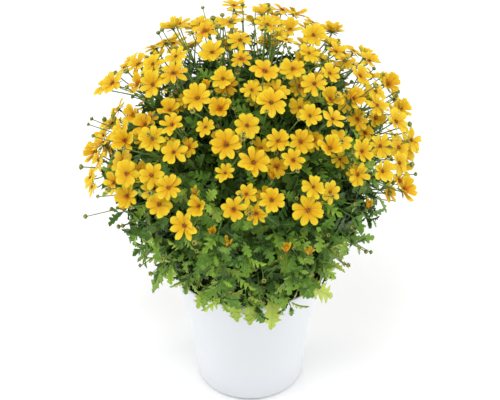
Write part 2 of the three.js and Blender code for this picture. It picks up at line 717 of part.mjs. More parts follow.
const twoDigits = (number) => String(number + 1).padStart(2, "0");
const stems = layOutStems();
const sprays = layOutSprays();
layOutBlooms(sprays);
stems.forEach((stem) => growLeafMass(stem, stems));
const pot = potSolid();
const soil = soilSolid(stems);
stems.forEach((stem) => {
  stem.stalk = stemSolid(stem);
});
sprays.forEach((spray) => {
  spray.solid = spraySolid(spray, stems);
});
const grown = [pot, soil];
sprays.forEach((spray) => grown.push(spray.solid));
stems.forEach((stem) => grown.push(stem.stalk, stem.skin.solid()));
growRimLeaves(stems, grown);
growBushLeaves(stems, grown);

const plant = new THREE.Group();
plant.add(meshOf(pot, WHITE_PLASTIC, "pot"));
plant.add(meshOf(soil, COMPOST, "soil"));
stems.forEach((stem) => {
  plant.add(meshOf(leafyStemSolid(stem), LEAF_GREEN, `leafy_stem_${twoDigits(stem.number)}`));
});
sprays.forEach((spray) => {
  plant.add(meshOf(spray.solid, PETAL_YELLOW, `flower_spray_${twoDigits(spray.number)}`));
});

export default plant;
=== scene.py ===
import functools
from math import asin, atan2, cos, degrees, pi, radians, sin, sqrt

import bmesh
import bpy
from mathutils import Matrix, Vector


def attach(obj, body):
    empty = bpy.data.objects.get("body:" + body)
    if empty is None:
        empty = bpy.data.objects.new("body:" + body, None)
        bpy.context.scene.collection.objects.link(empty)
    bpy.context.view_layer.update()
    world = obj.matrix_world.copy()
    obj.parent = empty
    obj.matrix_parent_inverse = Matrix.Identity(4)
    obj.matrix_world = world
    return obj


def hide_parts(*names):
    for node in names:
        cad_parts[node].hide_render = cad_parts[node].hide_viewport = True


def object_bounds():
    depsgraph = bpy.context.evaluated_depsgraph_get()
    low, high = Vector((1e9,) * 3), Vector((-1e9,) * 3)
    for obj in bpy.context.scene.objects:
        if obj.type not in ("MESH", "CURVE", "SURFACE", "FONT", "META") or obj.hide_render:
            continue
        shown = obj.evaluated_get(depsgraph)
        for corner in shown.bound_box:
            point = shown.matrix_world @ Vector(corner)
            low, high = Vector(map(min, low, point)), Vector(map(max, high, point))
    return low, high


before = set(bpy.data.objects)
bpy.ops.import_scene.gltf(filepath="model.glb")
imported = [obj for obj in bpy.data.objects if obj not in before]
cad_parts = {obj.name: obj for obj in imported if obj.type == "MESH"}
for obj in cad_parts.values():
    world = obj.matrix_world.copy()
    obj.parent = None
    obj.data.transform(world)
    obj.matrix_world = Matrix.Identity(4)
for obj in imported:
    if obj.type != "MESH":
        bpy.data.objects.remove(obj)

cad_box = [list(corner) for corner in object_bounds()]

# Flower pot
# A plain 19 cm pot of white polypropylene, injection moulded in one piece with a thin rounded
# lip, a wall that flares softly towards it, and four drain holes. It stands flat on its base.
MM = 0.001
POT_HEIGHT = 170
FOOT_RADIUS = 65
FOOT_CORNER = 8.5
POT_WALL = 2.2
POT_FLOOR = 3
WALL_LEAN = 0.105
FLARE_START = 75
FLARE_AT_RIM = 12.7
FLARE_POWER = 1.35
WALL_HEIGHTS = [20, 40, 60, 75, 84, 93, 102, 111, 120, 129, 138, 147, 156, 163]
GATE_RADIUS = 20
DRAIN_RADIUS = 5
DRAIN_CIRCLE = 38


def wall_radius(height):
    flare = max(0, (height - FLARE_START) / (POT_HEIGHT - FLARE_START))
    return FOOT_RADIUS + WALL_LEAN * (height - FOOT_CORNER) + FLARE_AT_RIM * flare ** FLARE_POWER


def edit_mode(on):
    bpy.ops.object.mode_set(mode="EDIT" if on else "OBJECT")


def turned(name, outline, sides):
    """A closed round body: a ring is drawn out through each (radius, height) of its outline."""
    radius, height = outline[0]
    bpy.ops.mesh.primitive_circle_add(
        vertices=sides, radius=radius * MM, fill_type="NGON", location=(0, 0, height * MM))
    bpy.ops.object.transform_apply()
    edit_mode(True)
    bpy.ops.mesh.select_mode(type="EDGE")
    bpy.ops.mesh.select_all(action="SELECT")
    for next_radius, next_height in outline[1:]:
        rise = (next_height - height) * MM
        bpy.ops.mesh.extrude_edges_move(TRANSFORM_OT_translate={"value": (0, 0, rise)})
        growth = next_radius / radius
        bpy.ops.transform.resize(value=(growth, growth, 1), center_override=(0, 0, next_height * MM))
        radius, height = next_radius, next_height
    bpy.ops.mesh.edge_face_add()
    bpy.ops.mesh.select_all(action="SELECT")
    bpy.ops.mesh.normals_make_consistent(inside=False)
    bpy.ops.mesh.select_mode(type="VERT")
    edit_mode(False)
    piece = bpy.context.object
    piece.name = name
    return piece


def quarter(centre_radius, centre_height, radius, start, steps):
    """Points of a quarter circle in an outline, from an angle in degrees."""
    angles = [radians(start + 90 * i / steps) for i in range(steps + 1)]
    return [(centre_radius + radius * cos(a), centre_height + radius * sin(a)) for a in angles]


lip = POT_WALL / 2
pot_outline = [(GATE_RADIUS, 0)]
pot_outline += quarter(FOOT_RADIUS - FOOT_CORNER, FOOT_CORNER, FOOT_CORNER, -90, 5)
pot_outline += [(wall_radius(height), height) for height in WALL_HEIGHTS]
rim = (wall_radius(POT_HEIGHT) - lip, POT_HEIGHT - lip, lip)
pot_outline += quarter(*rim, 0, 3) + quarter(*rim, 90, 3)[1:]
pot_outline += [(wall_radius(height) - POT_WALL, height) for height in reversed(WALL_HEIGHTS)]
pot_outline += [(wall_radius(FOOT_CORNER) - POT_WALL, FOOT_CORNER), (FOOT_RADIUS - FOOT_CORNER, POT_FLOOR)]
pot_outline += [(GATE_RADIUS, POT_FLOOR)]
pot = turned("white_pot", pot_outline, 96)
drill = []
for i in range(4):
    angle = radians(45 + 90 * i)
    bpy.ops.mesh.primitive_cylinder_add(
        vertices=24, radius=DRAIN_RADIUS * MM, depth=4 * POT_FLOOR * MM,
        location=(DRAIN_CIRCLE * cos(angle) * MM, DRAIN_CIRCLE * sin(angle) * MM, 0))
    drill.append(bpy.context.object)
bpy.context.view_layer.objects.active = pot
for tool in drill:
    cut = pot.modifiers.new("drain hole", "BOOLEAN")
    cut.object = tool
    cut.operation = "DIFFERENCE"
    cut.solver = "EXACT"
    bpy.ops.object.modifier_apply(modifier=cut.name)
    bpy.data.objects.remove(tool)
pot.select_set(True)
bpy.ops.object.shade_smooth_by_angle(angle=radians(35))


def colour(code):
    """An sRGB hex colour as the linear colour that a shader takes."""
    parts = [int(code[i:i + 2], 16) / 255 for i in (1, 3, 5)]
    linear = [part / 12.92 if part <= 0.04045 else ((part + 0.055) / 1.055) ** 2.4 for part in parts]
    return (*linear, 1)


def add_node(material, kind, settings=None, output=0, stops=None):
    """Adds a node with its settings and links, and gives one of its outputs. A value that is the
    output of another node is linked. A ramp also has (place, colour) stops."""
    node = material.node_tree.nodes.new("ShaderNode" + kind)
    for name, value in (settings or {}).items():
        if isinstance(value, bpy.types.NodeSocket):
            material.node_tree.links.new(value, node.inputs[name])
        elif isinstance(name, int) or name in node.inputs:
            node.inputs[name].default_value = value
        else:
            setattr(node, name, value)
    if stops:
        node.color_ramp.elements.remove(node.color_ramp.elements[1])
        for i, (place, code) in enumerate(stops):
            stop = node.color_ramp.elements[0] if i == 0 else node.color_ramp.elements.new(place)
            stop.position = place
            stop.color = colour(code)
    return node if output is None else node.outputs[output]


def new_material(name):
    """An empty material and the function that adds a node to it."""
    material = bpy.data.materials.new(name)
    material.use_nodes = True
    material.node_tree.nodes.clear()
    return material, functools.partial(add_node, material)


def finish_material(material, settings):
    surface = add_node(material, "BsdfPrincipled", settings)
    add_node(material, "OutputMaterial", {"Surface": surface}, output=None)


# Polypropylene: slightly cool white, half glossy from a polished mould, with the faint ripple
# (about 5 mm) of a moulded wall, and a little greyer towards the foot
polypropylene, add = new_material("white_polypropylene_moulded")
place = add("TexCoord", output="Object")
height = add("SeparateXYZ", {"Vector": place}, output="Z")
foot = add("MapRange", {"Value": height, "From Min": 0.0, "From Max": 0.06})
scuffs = add("TexNoise", {"Vector": place, "Scale": 1 / (9 * MM), "Detail": 6.0})
mask = add("Math", {"operation": "MULTIPLY_ADD", 0: scuffs, 1: 0.35, 2: foot})
white = add("ValToRGB", {"Fac": mask}, stops=[(0.1, "#D5D8DD"), (0.6, "#DBDDE2"), (1.0, "#DDE0E4")])
gloss = add("MapRange", {"Value": scuffs, "To Min": 0.3, "To Max": 0.42})
ripple = add("TexNoise", {"Vector": place, "Scale": 1 / (5 * MM), "Detail": 1.0})
wall = add("Bump", {"Height": ripple, "Strength": 0.05, "Distance": 0.0004})
finish_material(polypropylene, {
    "Base Color": white, "Roughness": gloss, "Normal": wall, "IOR": 1.49,
    "Subsurface Weight": 0.08, "Subsurface Radius": (0.004, 0.004, 0.004)})
pot.data.materials.append(polypropylene)
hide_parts("pot")
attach(pot, "root")

# Compost
# Peat and wood-fibre compost, pressed in by hand up to 18 mm below the rim, so that its top is
# lumpy, with crumbs of bark and a few white grains of perlite lying on it.
SOIL_TOP = 152
SOIL_CLEAR = POT_WALL + 0.35
soil_outline = [(GATE_RADIUS, POT_FLOOR + 0.35), (FOOT_RADIUS - FOOT_CORNER - 1, POT_FLOOR + 0.35)]
soil_outline += [(wall_radius(FOOT_CORNER) - SOIL_CLEAR - 0.35, FOOT_CORNER + 1)]
soil_outline += [(wall_radius(height) - SOIL_CLEAR, height) for height in (60, 84, 102, 120, 138, SOIL_TOP)]
soil_outline += [(radius, SOIL_TOP) for radius in (86, 82, 78, 74, 70, 66, 61, 56, 50, 44, 37, 30, 22, 13, 5)]
compost = turned("compost", soil_outline, 72)


def select(test):
    """Selects the vertices of the object in edit mode that pass a test."""
    mesh = bmesh.from_edit_mesh(bpy.context.object.data)
    for vertex in mesh.verts:
        vertex.select_set(test(vertex))
    mesh.select_flush_mode()
    bmesh.update_edit_mesh(bpy.context.object.data)


edit_mode(True)
select(lambda vertex: vertex.co.z > (SOIL_TOP - 1) * MM and vertex.co.xy.length < 87 * MM)
bpy.ops.transform.vertex_random(offset=2.6 * MM, uniform=0.3, normal=0.4, seed=4)
edit_mode(False)

# One crumb, rough like torn bark, which is copied all over the compost
bpy.ops.mesh.primitive_ico_sphere_add(subdivisions=1, radius=1 * MM)
crumb = bpy.context.object
edit_mode(True)
bpy.ops.transform.resize(value=(1.5, 1, 0.6))
bpy.ops.transform.vertex_random(offset=0.35 * MM, uniform=0.4, seed=8)
edit_mode(False)

# Peat: near black when damp, with brown fibres of about 2 mm
peat, add = new_material("damp_peat_compost")
place = add("TexCoord", output="Object")
fibres = add("TexNoise", {"Vector": place, "Scale": 1 / (2 * MM), "Detail": 5.0, "Roughness": 0.7})
brown = add("ValToRGB", {"Fac": fibres},
            stops=[(0.3, "#2C2018"), (0.5, "#4E3A2A"), (0.66, "#735943"), (0.8, "#93785C")])
lumps = add("Bump", {"Height": fibres, "Strength": 0.9, "Distance": 0.0012})
finish_material(peat, {"Base Color": brown, "Normal": lumps, "Roughness": 0.95, "Specular IOR Level": 0.2})


def speckled(name, size, stops, settings, detail=2.0):
    """A material whose colour changes in specks of about one size, in mm."""
    material, add = new_material(name)
    place = add("TexCoord", output="Object")
    specks = add("TexNoise", {"Vector": place, "Scale": 1 / (size * MM), "Detail": detail})
    finish_material(material, {"Base Color": add("ValToRGB", {"Fac": specks}, stops=stops), **settings})
    return material


# Perlite: puffed volcanic glass, chalk white and dull
perlite = speckled("perlite_grains", 0.8, [(0.35, "#BDB8AC"), (0.6, "#EEEBE2")], {"Roughness": 0.9})


def draw(thing, quality):
    """Repeatable draw between 0 and 1 for one quality of one thing."""
    return sin(thing * 12.9898 + quality * 78.233) * 43758.5453 % 1


def between(low, high, thing, quality):
    return low + (high - low) * draw(thing, quality)


def placed(prototype, matrix, tone=0.0):
    """A copy with its own mesh, at its place, whose colour tone is shifted by one amount."""
    piece = prototype.copy()
    piece.data = prototype.data.copy()
    piece.data.transform(matrix)
    tones = piece.data.attributes.get("tone") or piece.data.attributes.new("tone", "FLOAT", "POINT")
    for value in tones.data:
        value.value += tone
    bpy.context.scene.collection.objects.link(piece)
    return piece


def select_only(pieces):
    bpy.ops.object.select_all(action="DESELECT")
    for piece in pieces:
        piece.select_set(True)
    bpy.context.view_layer.objects.active = pieces[0]


def joined(name, pieces):
    select_only(pieces)
    bpy.ops.object.join()
    pieces[0].name = name
    return pieces[0]


compost.data.materials.append(peat)
for kind, (material, count) in enumerate(((peat, 150), (perlite, 26))):
    crumb.data.materials.clear()
    crumb.data.materials.append(material)
    for i in range(count):
        thing = 1000 * kind + i
        angle = 2 * pi * draw(thing, 1)
        radius = 87 * sqrt(draw(thing, 2)) * MM
        size = between(1.1, 2.6, thing, 3)
        spot = Matrix.Translation((radius * cos(angle), radius * sin(angle), (SOIL_TOP + 0.8) * MM))
        turn = Matrix.Rotation(6 * draw(thing, 4), 4, "Z") @ Matrix.Rotation(draw(thing, 5) - 0.5, 4, "X")
        compost = joined("compost", [compost, placed(crumb, spot @ turn @ Matrix.Scale(size, 4))])
bpy.data.objects.remove(crumb)
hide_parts("soil")
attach(compost, "root")

# Where the stems and the sprays stand
# The bush is round. A turn of 0 degrees faces the front and grows towards +X, and a lift is the
# angle above the level of its middle. Fifteen stems share it out, and 43 sprays stand on it.
BUSH_HEIGHT = 291
FORK_RADIUS = 147
BLOOM_DOME = 188
BLOOM_SPACING = 35.5
STEM_RINGS = [  # number of stems, turn of the first, lift, distance of their middle, root radius
    (7, 14, -29, 100, 57),
    (6, -5, 19, 88, 33),
    (2, 70, 70, 80, 14),
]
FRONT_SPRAYS = [  # turn, lift and number of blooms
    (-21, 15, 2), (1, 24, 4), (25, 24, 3), (-36, 23, 4), (-55, 18, 4),
    (-84, 8, 5), (53, 29, 4), (68, 13, 3), (82, 25, 4), (95, 5, 3),
    (-40, 43, 4), (-61, 37, 4), (-4, 45, 4), (18, 43, 3), (38, 45, 4),
    (-22, 54, 3), (-90, 46, 4), (-68, 58, 4), (8, 63, 4), (50, 60, 4),
    (-30, 75, 4), (80, 44, 4), (104, 27, 4), (104, 52, 4), (85, 68, 4),
]
BACK_ROWS = [(6, 118, 243, 6), (30, 127, 247, 6), (53, 131, 227, 4), (74, 140, 230, 2)]


def towards(turn, lift):
    turn, lift = radians(turn), radians(lift)
    return Vector((sin(turn) * cos(lift), -cos(turn) * cos(lift), sin(lift)))


def from_middle(direction, distance):
    return Vector((0, 0, BUSH_HEIGHT)) + direction * distance


def across(direction):
    """Two unit vectors across a direction, which make a right-handed frame with it."""
    hint = Vector((0, -1, 0)) if abs(direction.z) > 0.95 else Vector((0, 0, 1))
    side = hint.cross(direction).normalized()
    return side, direction.cross(side)


stems = []
for count, first_turn, lift, distance, root in STEM_RINGS:
    for i in range(count):
        turn = first_turn + 360 * i / count
        foot = towards(turn, 0) * root + Vector((0, 0, SOIL_TOP - 14))
        stems.append({"foot": foot, "middle": from_middle(towards(turn, lift), distance), "root": root})

sprays = [{"turn": turn, "lift": lift, "count": count} for turn, lift, count in FRONT_SPRAYS]
for lift, first_turn, last_turn, count in BACK_ROWS:
    for i in range(count):
        turn = first_turn + (last_turn - first_turn) * i / (count - 1)
        sprays.append({"turn": turn, "lift": lift, "count": 4})

blooms = []
for number, spray in enumerate(sprays):
    spray["direction"] = towards(spray["turn"], spray["lift"])
    side, rise = across(spray["direction"])
    ring = BLOOM_SPACING / (2 * sin(pi / spray["count"]))
    spray["blooms"] = []
    for i in range(spray["count"]):
        thing = len(blooms)
        angle = 2 * pi * (i / spray["count"] + draw(number, 1) + 0.12 * draw(thing, 2))
        out = spray["direction"] * BLOOM_DOME + side * (ring * cos(angle)) + rise * (ring * sin(angle))
        bloom = {"number": thing, "direction": out.normalized()}
        bloom["level"] = between(-13, 9, thing, 3)
        bloom["radius"] = between(14.5, 18, thing, 4)
        blooms.append(bloom)
        spray["blooms"].append(bloom)

# Blooms that stand too close push each other aside, as they do when they open
for _ in range(60):
    for i, one in enumerate(blooms):
        for other in blooms[i + 1:]:
            apart = (one["direction"] - other["direction"]) * BLOOM_DOME
            if abs(apart.x) > BLOOM_SPACING or abs(apart.y) > BLOOM_SPACING:
                continue
            credit = 0.6 * min(abs(one["level"] - other["level"]), 9)
            missing = BLOOM_SPACING - credit - apart.length
            if missing > 0:
                push = apart.normalized() * (missing / 2 / BLOOM_DOME)
                one["direction"] = (one["direction"] + push).normalized()
                other["direction"] = (other["direction"] - push).normalized()

# Leaves
# A leaf of the bidens has a thin stalk and a soft green blade with blunt lobes that point
# forward, deeper on the upper leaves. It is folded a little along its midrib and arches down.
# Each row of a blade: how far along it lies, its half width, and how far its edge is swept
# forward. After two rows of stalk come two rows for each lobe and one for the cut behind it
LOBE_ROWS = 5  # rows from the middle of one cut in the edge of a low leaf to the next


def cut_outline(lobes, stalk, width, cut, teeth):
    """Rows of a blade with a bare stalk and then lobes with small teeth on their edges."""
    outline = [(0.0, 0.016, 0.0)]
    count = lobes * LOBE_ROWS
    for i in range(count + 1):
        share = i / count
        body = width * sin(pi * (0.07 + 0.93 * share))
        lobe = 1 - cut * (0.5 + 0.5 * cos(2 * pi * i / LOBE_ROWS))
        tooth = 1 + teeth * (1 if i % 2 else -1)
        half_width = max(0.014, body * lobe * tooth)
        outline.append((stalk + (1 - stalk) * share, half_width, 0.10 * lobe * body / width))
    return outline


TOOTHED_LEAF = cut_outline(5, 0.17, 0.27, 0.42, 0.12)
LOBED_LEAF = cut_outline(5, 0.20, 0.29, 0.64, 0.10)
MIDDLE_LEAF = [
    (0.00, 0.016, 0.00), (0.15, 0.020, 0.00), (0.25, 0.150, 0.06), (0.31, 0.160, 0.06), (0.38, 0.075, 0.01),
    (0.46, 0.252, 0.08), (0.52, 0.258, 0.08), (0.59, 0.115, 0.01), (0.66, 0.255, 0.08), (0.72, 0.235, 0.08),
    (0.79, 0.105, 0.01), (0.85, 0.140, 0.06), (0.91, 0.110, 0.05), (1.00, 0.020, 0.00),
]
TOP_LEAF = [
    (0.00, 0.012, 0.00), (0.17, 0.014, 0.00), (0.24, 0.150, 0.10), (0.28, 0.155, 0.11), (0.33, 0.028, 0.00),
    (0.42, 0.235, 0.13), (0.46, 0.240, 0.14), (0.51, 0.030, 0.00), (0.60, 0.200, 0.12), (0.64, 0.195, 0.13),
    (0.69, 0.028, 0.00), (0.79, 0.110, 0.09), (0.82, 0.100, 0.09), (1.00, 0.014, 0.00),
]
BRACT = [(0.00, 0.10, 0.0), (0.50, 0.16, 0.0), (1.00, 0.02, 0.0)]
VEIN_ROWS = 15  # rows of a blade in one unit of its UV map, so that a lobe and its vein take 3 / 15


def blade(name, length, rows, columns, thickness, fold, arch, bend, materials, lobe_rows=3):
    """A thin closed blade along +Y with its upper side up, thickest inside and sharp all round."""
    bpy.ops.mesh.primitive_grid_add(x_subdivisions=columns, y_subdivisions=len(rows) - 1, size=2 * MM)
    piece = bpy.context.object
    piece.name = name
    inside = piece.vertex_groups.new(name="inside")
    for vertex in piece.data.vertices:
        row, column = divmod(vertex.index, columns + 1)
        if 0 < row < len(rows) - 1 and 0 < column < columns:
            inside.add([vertex.index], 1, "REPLACE")
    edit_mode(True)
    for row, (along, half_width, sweep) in enumerate(rows):
        start = 2 * row / (len(rows) - 1) - 1
        select(lambda vertex: vertex.index // (columns + 1) == row)
        bpy.ops.transform.resize(value=(half_width * length, 1, 1), center_override=(0, 0, 0))
        shift = (bend * along ** 2 * length, along * length - start, -arch * along ** 2 * length)
        bpy.ops.transform.translate(value=[part * MM for part in shift])
        for edge in range(columns + 1):
            reach = abs(2 * edge / columns - 1)
            select(lambda vertex: vertex.index == row * (columns + 1) + edge)
            lift = (0, sweep * reach * length, fold * reach * half_width * length)
            bpy.ops.transform.translate(value=[part * MM for part in lift])
    edit_mode(False)
    for corner in piece.data.uv_layers[0].data:
        corner.uv.y *= (len(rows) - 1) / VEIN_ROWS * 3 / lobe_rows
    for material in materials:
        piece.data.materials.append(material)
    skin = piece.modifiers.new("two sides", "SOLIDIFY")
    skin.thickness = thickness * MM
    skin.offset = -1
    skin.vertex_group = "inside"
    skin.material_offset = len(materials) - 1
    bpy.ops.object.modifier_apply(modifier=skin.name)
    edit_mode(True)
    bpy.ops.mesh.select_all(action="SELECT")
    bpy.ops.mesh.remove_doubles(threshold=0.01 * MM)
    edit_mode(False)
    piece.vertex_groups.clear()
    bpy.ops.object.shade_smooth_by_angle(angle=radians(50))
    return piece


# Leaf blade, upper side: from dark to yellow green as the tone rises, with a paler midrib and
# side veins (one for each lobe) and a soft gloss, and painted shade that darkens it towards the inside of the
# bush
leaf_green, add = new_material("leaf_upper_side")
place = add("TexCoord", output="Object")
grid = add("TexCoord", output="UV")
across_leaf = add("SeparateXYZ", {"Vector": grid}, output="X")
along_leaf = add("SeparateXYZ", {"Vector": grid}, output="Y")
tone = add("Attribute", {"attribute_name": "tone"}, output="Fac")
patches = add("TexNoise", {"Vector": place, "Scale": 1 / (16 * MM), "Detail": 4.0})
shade = add("Math", {"operation": "MULTIPLY_ADD", 0: patches, 1: 0.35, 2: tone})
green = add("ValToRGB", {"Fac": shade}, stops=[
    (0.05, "#142A0B"), (0.3, "#335C17"), (0.52, "#618D29"), (0.76, "#9ABC3D"), (1.0, "#C6D65E")])
centred = add("Math", {"operation": "SUBTRACT", 0: across_leaf, 1: 0.5})
from_rib = add("Math", {"operation": "ABSOLUTE", 0: centred})
rib = add("MapRange", {"Value": from_rib, "From Min": 0.02, "From Max": 0.09, "To Min": 1.0, "To Max": 0.0})
slant = add("Math", {"operation": "MULTIPLY_ADD", 0: from_rib, 1: -0.35, 2: along_leaf})
waves = add("Math", {
    "operation": "MULTIPLY_ADD", 0: slant, 1: 2 * pi * VEIN_ROWS / 3, 2: -2 * pi * 2.5 / 3})
side_veins = add("Math", {"operation": "COSINE", 0: waves})
vein = add("MapRange", {"Value": side_veins, "From Min": 0.86, "From Max": 1.0, "To Max": 0.6})
veins = add("Math", {"operation": "MAXIMUM", 0: rib, 1: vein})
strength = add("Math", {"operation": "MULTIPLY", 0: veins, 1: 0.4})
painted = add("MixRGB", {"Fac": strength, "Color1": green, "Color2": colour("#A3BC68")})
# Painted shade: the colour is multiplied down to 0.38 as a leaf lies nearer the middle of the bush
from_centre = add("Mapping", {"Vector": place, "Location": (0, 0, -BUSH_HEIGHT * MM)})
distance = add("VectorMath", {"operation": "LENGTH", 0: from_centre}, output="Value")
depth = add("MapRange", {"Value": distance, "From Min": 0.115, "From Max": 0.155, "To Min": 0.38})
green_with_painted_shade = add("MixRGB", {"blend_type": "MULTIPLY", "Fac": 1.0, "Color1": painted, "Color2": depth})
relief = add("Bump", {"Height": veins, "Strength": 0.8, "Distance": 0.0006, "invert": True})
finish_material(leaf_green, {
    "Base Color": green_with_painted_shade, "Normal": relief, "Roughness": 0.42, "Specular IOR Level": 0.24})
# Underside: paler and dull
leaf_under, add = new_material("leaf_underside")
tone = add("Attribute", {"attribute_name": "tone"}, output="Fac")
pale = add("ValToRGB", {"Fac": tone}, stops=[(0.0, "#2E4A22"), (0.5, "#64883F"), (0.9, "#A3B866")])
finish_material(leaf_under, {"Base Color": pale, "Roughness": 0.75, "Specular IOR Level": 0.25})
# Painted shade: a near-black green core that stands for old leaves and twigs deep inside the bush, where next
# to no light comes
shaded_leaves = speckled("shaded_inside_leaves", 8, [(0.35, "#141F0D"), (0.6, "#243A18"), (0.8, "#3A5523")],
                         {"Roughness": 0.9, "Specular IOR Level": 0.1}, detail=5.0)
# Young stems: green and dull, going brown and woody near the compost
stem_bark, add = new_material("stem_and_twig")
place = add("TexCoord", output="Object")
height = add("SeparateXYZ", {"Vector": place}, output="Z")
woody = add("MapRange", {"Value": height, "From Min": 0.15, "From Max": 0.24})
grain = add("TexNoise", {"Vector": place, "Scale": 1 / (3 * MM)})
blend = add("Math", {"operation": "MULTIPLY_ADD", 0: grain, 1: 0.3, 2: woody})
bark = add("ValToRGB", {"Fac": blend}, stops=[(0.1, "#5B4A33"), (0.5, "#6A7A3E"), (1.0, "#6E9848")])
finish_material(stem_bark, {"Base Color": bark, "Roughness": 0.6})

LEAF_SIDES = [leaf_green, leaf_under]
LOW_FORMS = [  # outline, fold, arch and bend
    (TOOTHED_LEAF, 0.25, 0.22, 0.05), (LOBED_LEAF, 0.15, 0.30, -0.08), (TOOTHED_LEAF, -0.1, 0.38, -0.04)]
low_leaves = [blade("low_leaf", 50, rows, 4, 0.8, *form, LEAF_SIDES, LOBE_ROWS) for rows, *form in LOW_FORMS]
for leaf in low_leaves:
    bpy.context.view_layer.objects.active = leaf
    edit_mode(True)
    select(lambda vertex: vertex.co.y > 12 * MM)
    bpy.ops.transform.vertex_random(offset=0.5 * MM, normal=1, seed=5)
    edit_mode(False)
middle_leaves = [blade("middle_leaf", 30, MIDDLE_LEAF, 2, 0.7, fold, arch, bend, LEAF_SIDES)
                 for fold, arch, bend in ((0.25, 0.12, 0.05), (0.5, 0.3, -0.08), (-0.15, 0.45, 0.03))]
top_leaves = [blade("top_leaf", 32, TOP_LEAF, 2, 0.7, 0.4, arch, bend, LEAF_SIDES)
              for arch, bend in ((0.12, 0.04), (0.28, -0.06), (0.42, 0.02))]


def growing(origin, growth, facing, scale=1.0):
    """Places a blade with its foot at the origin, which grows one way and faces another. In mm."""
    side = growth.cross(facing).normalized()
    face = side.cross(growth)
    turn = Matrix((side, growth, face)).transposed().to_4x4()
    return Matrix.Translation(origin * MM) @ turn @ Matrix.Scale(scale, 4)


def tubes(name, paths, material):
    """Six-sided stalks, each along its own smooth path of (point, radius), in mm."""
    lines = bpy.data.curves.new(name, "CURVE")
    lines.dimensions = "3D"
    lines.bevel_depth = MM
    lines.bevel_resolution = 1
    lines.resolution_u = 3
    lines.use_fill_caps = True
    for path in paths:
        line = lines.splines.new("NURBS")
        line.points.add(len(path) - 1)
        for point, (spot, radius) in zip(line.points, path):
            point.co = (*(spot * MM), 1)
            point.radius = radius
        line.order_u = min(4, len(path))
        line.use_endpoint_u = True
    lines.materials.append(material)
    piece = bpy.data.objects.new(name, lines)
    bpy.context.scene.collection.objects.link(piece)
    select_only([piece])
    bpy.ops.object.convert(target="MESH")
    piece = bpy.context.object
    edit_mode(True)
    bpy.ops.mesh.select_all(action="SELECT")
    bpy.ops.mesh.remove_doubles(threshold=0.005 * MM)
    bpy.ops.mesh.normals_make_consistent(inside=False)
    edit_mode(False)
    bpy.ops.object.shade_smooth_by_angle(angle=radians(70))
    return piece


# One shoot: a twig with pairs of leaves, each pair square to the one below, and a tuft on top.
# The first three kinds are low and broad-leaved, the others are high and fine-leaved.
SHOOT_PAIRS = [(14, 1.05, 20), (29, 1.1, 26), (43, 0.95, 34), (54, 0.75, 46), (61, 0.45, 62)]
shoots = []
for kind in range(6):
    leaves = [*middle_leaves, top_leaves[kind]] if kind < 3 else [*top_leaves, top_leaves[kind - 3]]
    twig = [((0, 0, 0), 1.3), ((1, kind - 2, 25), 1.2), ((kind - 1, 2, 45), 1.0), ((0, 0, 64), 0.5)]
    parts = [tubes("twig", [[(Vector(spot), radius) for spot, radius in twig]], stem_bark)]
    for pair, (height, size, climb) in enumerate(SHOOT_PAIRS):
        for hand in range(2):
            thing = 40 * kind + 2 * pair + hand
            turn = 90 * pair + 180 * hand + between(-22, 22, thing, 21)
            growth = towards(turn, climb + between(-12, 12, thing, 22))
            facing = towards(turn + between(-25, 25, thing, 24), 90 + climb)
            scale = size * between(0.85, 1.15, thing, 23)
            spot = growing(Vector((0, 0, height)), growth, facing, scale)
            parts.append(placed(leaves[int(4 * draw(thing, 25))], spot, between(-0.22, 0.22, thing, 26)))
    shoots.append(joined("shoot", parts))

# Leafy stems
# Each stem stands in the compost, forks low down, and carries shoots that end at the outline of
# the bush. Shaded old leaves fill its inside, drawn as a dark core of painted shade. The lowest
# leaves are large and hang over the rim.
SHOOTS = 330
LOWEST_SHOOT = -47
INSIDE_RADIUS = [126, 118, 116]
FRONT_LEAVES = [  # turn, radius and height of the foot, aim aside, slope, size, tone
    (15, 90, 196, -3, -46, 1, 0.82), (34, 100, 198, 56, -26, 1, 0.9), (2, 92, 194, -8, -56, 0.85, 0.74),
    (66, 92, 194, 12, -8, 0.6, 0.84), (70, 96, 186, -20, -50, 0.42, 0.9), (-14, 106, 226, 6, -52, 0.75, 0.5),
    (-30, 90, 194, -22, -48, 0.72, 0.66), (-44, 90, 200, 10, -12, 0.6, 0.6),
    (-12, 90, 192, 10, -58, 0.8, 0.7), (19, 104, 212, 2, -44, 0.66, 0.46),
    (50, 96, 214, -10, -20, 0.55, 0.44), (-24, 108, 214, -14, -40, 0.66, 0.46),
    (30, 90, 206, 46, -10, 0.8, 0.4), (8, 84, 204, -20, -28, 0.7, 0.5),
]
SIDE_LEAVES = 60
GOLDEN_ANGLE = 137.508
BACK_LEAVES = 24
RIM_LEAVES = []
for i in range(BACK_LEAVES):
    turn = 98 + 200 * (i + 0.5) / BACK_LEAVES
    tier = i % 2
    tone = between(0.32, 0.62, i, 51) - 0.1 * tier
    RIM_LEAVES.append((turn, 90 + 6 * tier, 190 + 14 * tier, between(-16, 16, i, 53),
                       -40 + 12 * tier + between(-8, 8, i, 52), between(0.8, 1.05, i, 55), tone))


def stem_of(point):
    return min(range(len(stems)), key=lambda i: (stems[i]["middle"] - point).length)


def inside_reach(number, ray):
    """How far the dense inside of a stem's foliage reaches from its middle along a ray."""
    middle = stems[number]["middle"]
    offset = middle - Vector((0, 0, BUSH_HEIGHT))
    radius = INSIDE_RADIUS[0 if number < 7 else 1 if number < 13 else 2]
    along = offset.dot(ray)
    reach = -along + sqrt(along ** 2 + radius ** 2 - offset.length_squared)
    for other, stem in enumerate(stems):
        gap = stem["middle"] - middle
        facing = ray.dot(gap) / gap.length if other != number else 0
        if facing > 1e-6:
            reach = min(reach, gap.length / 2 / facing)
    if ray.z < 0:
        reach = min(reach, (middle.z - 178) / -ray.z)
    inwards = -ray.dot(Vector((middle.x, middle.y, 0)).normalized())
    return min(reach, 45 / inwards) if inwards > 0.2 else reach


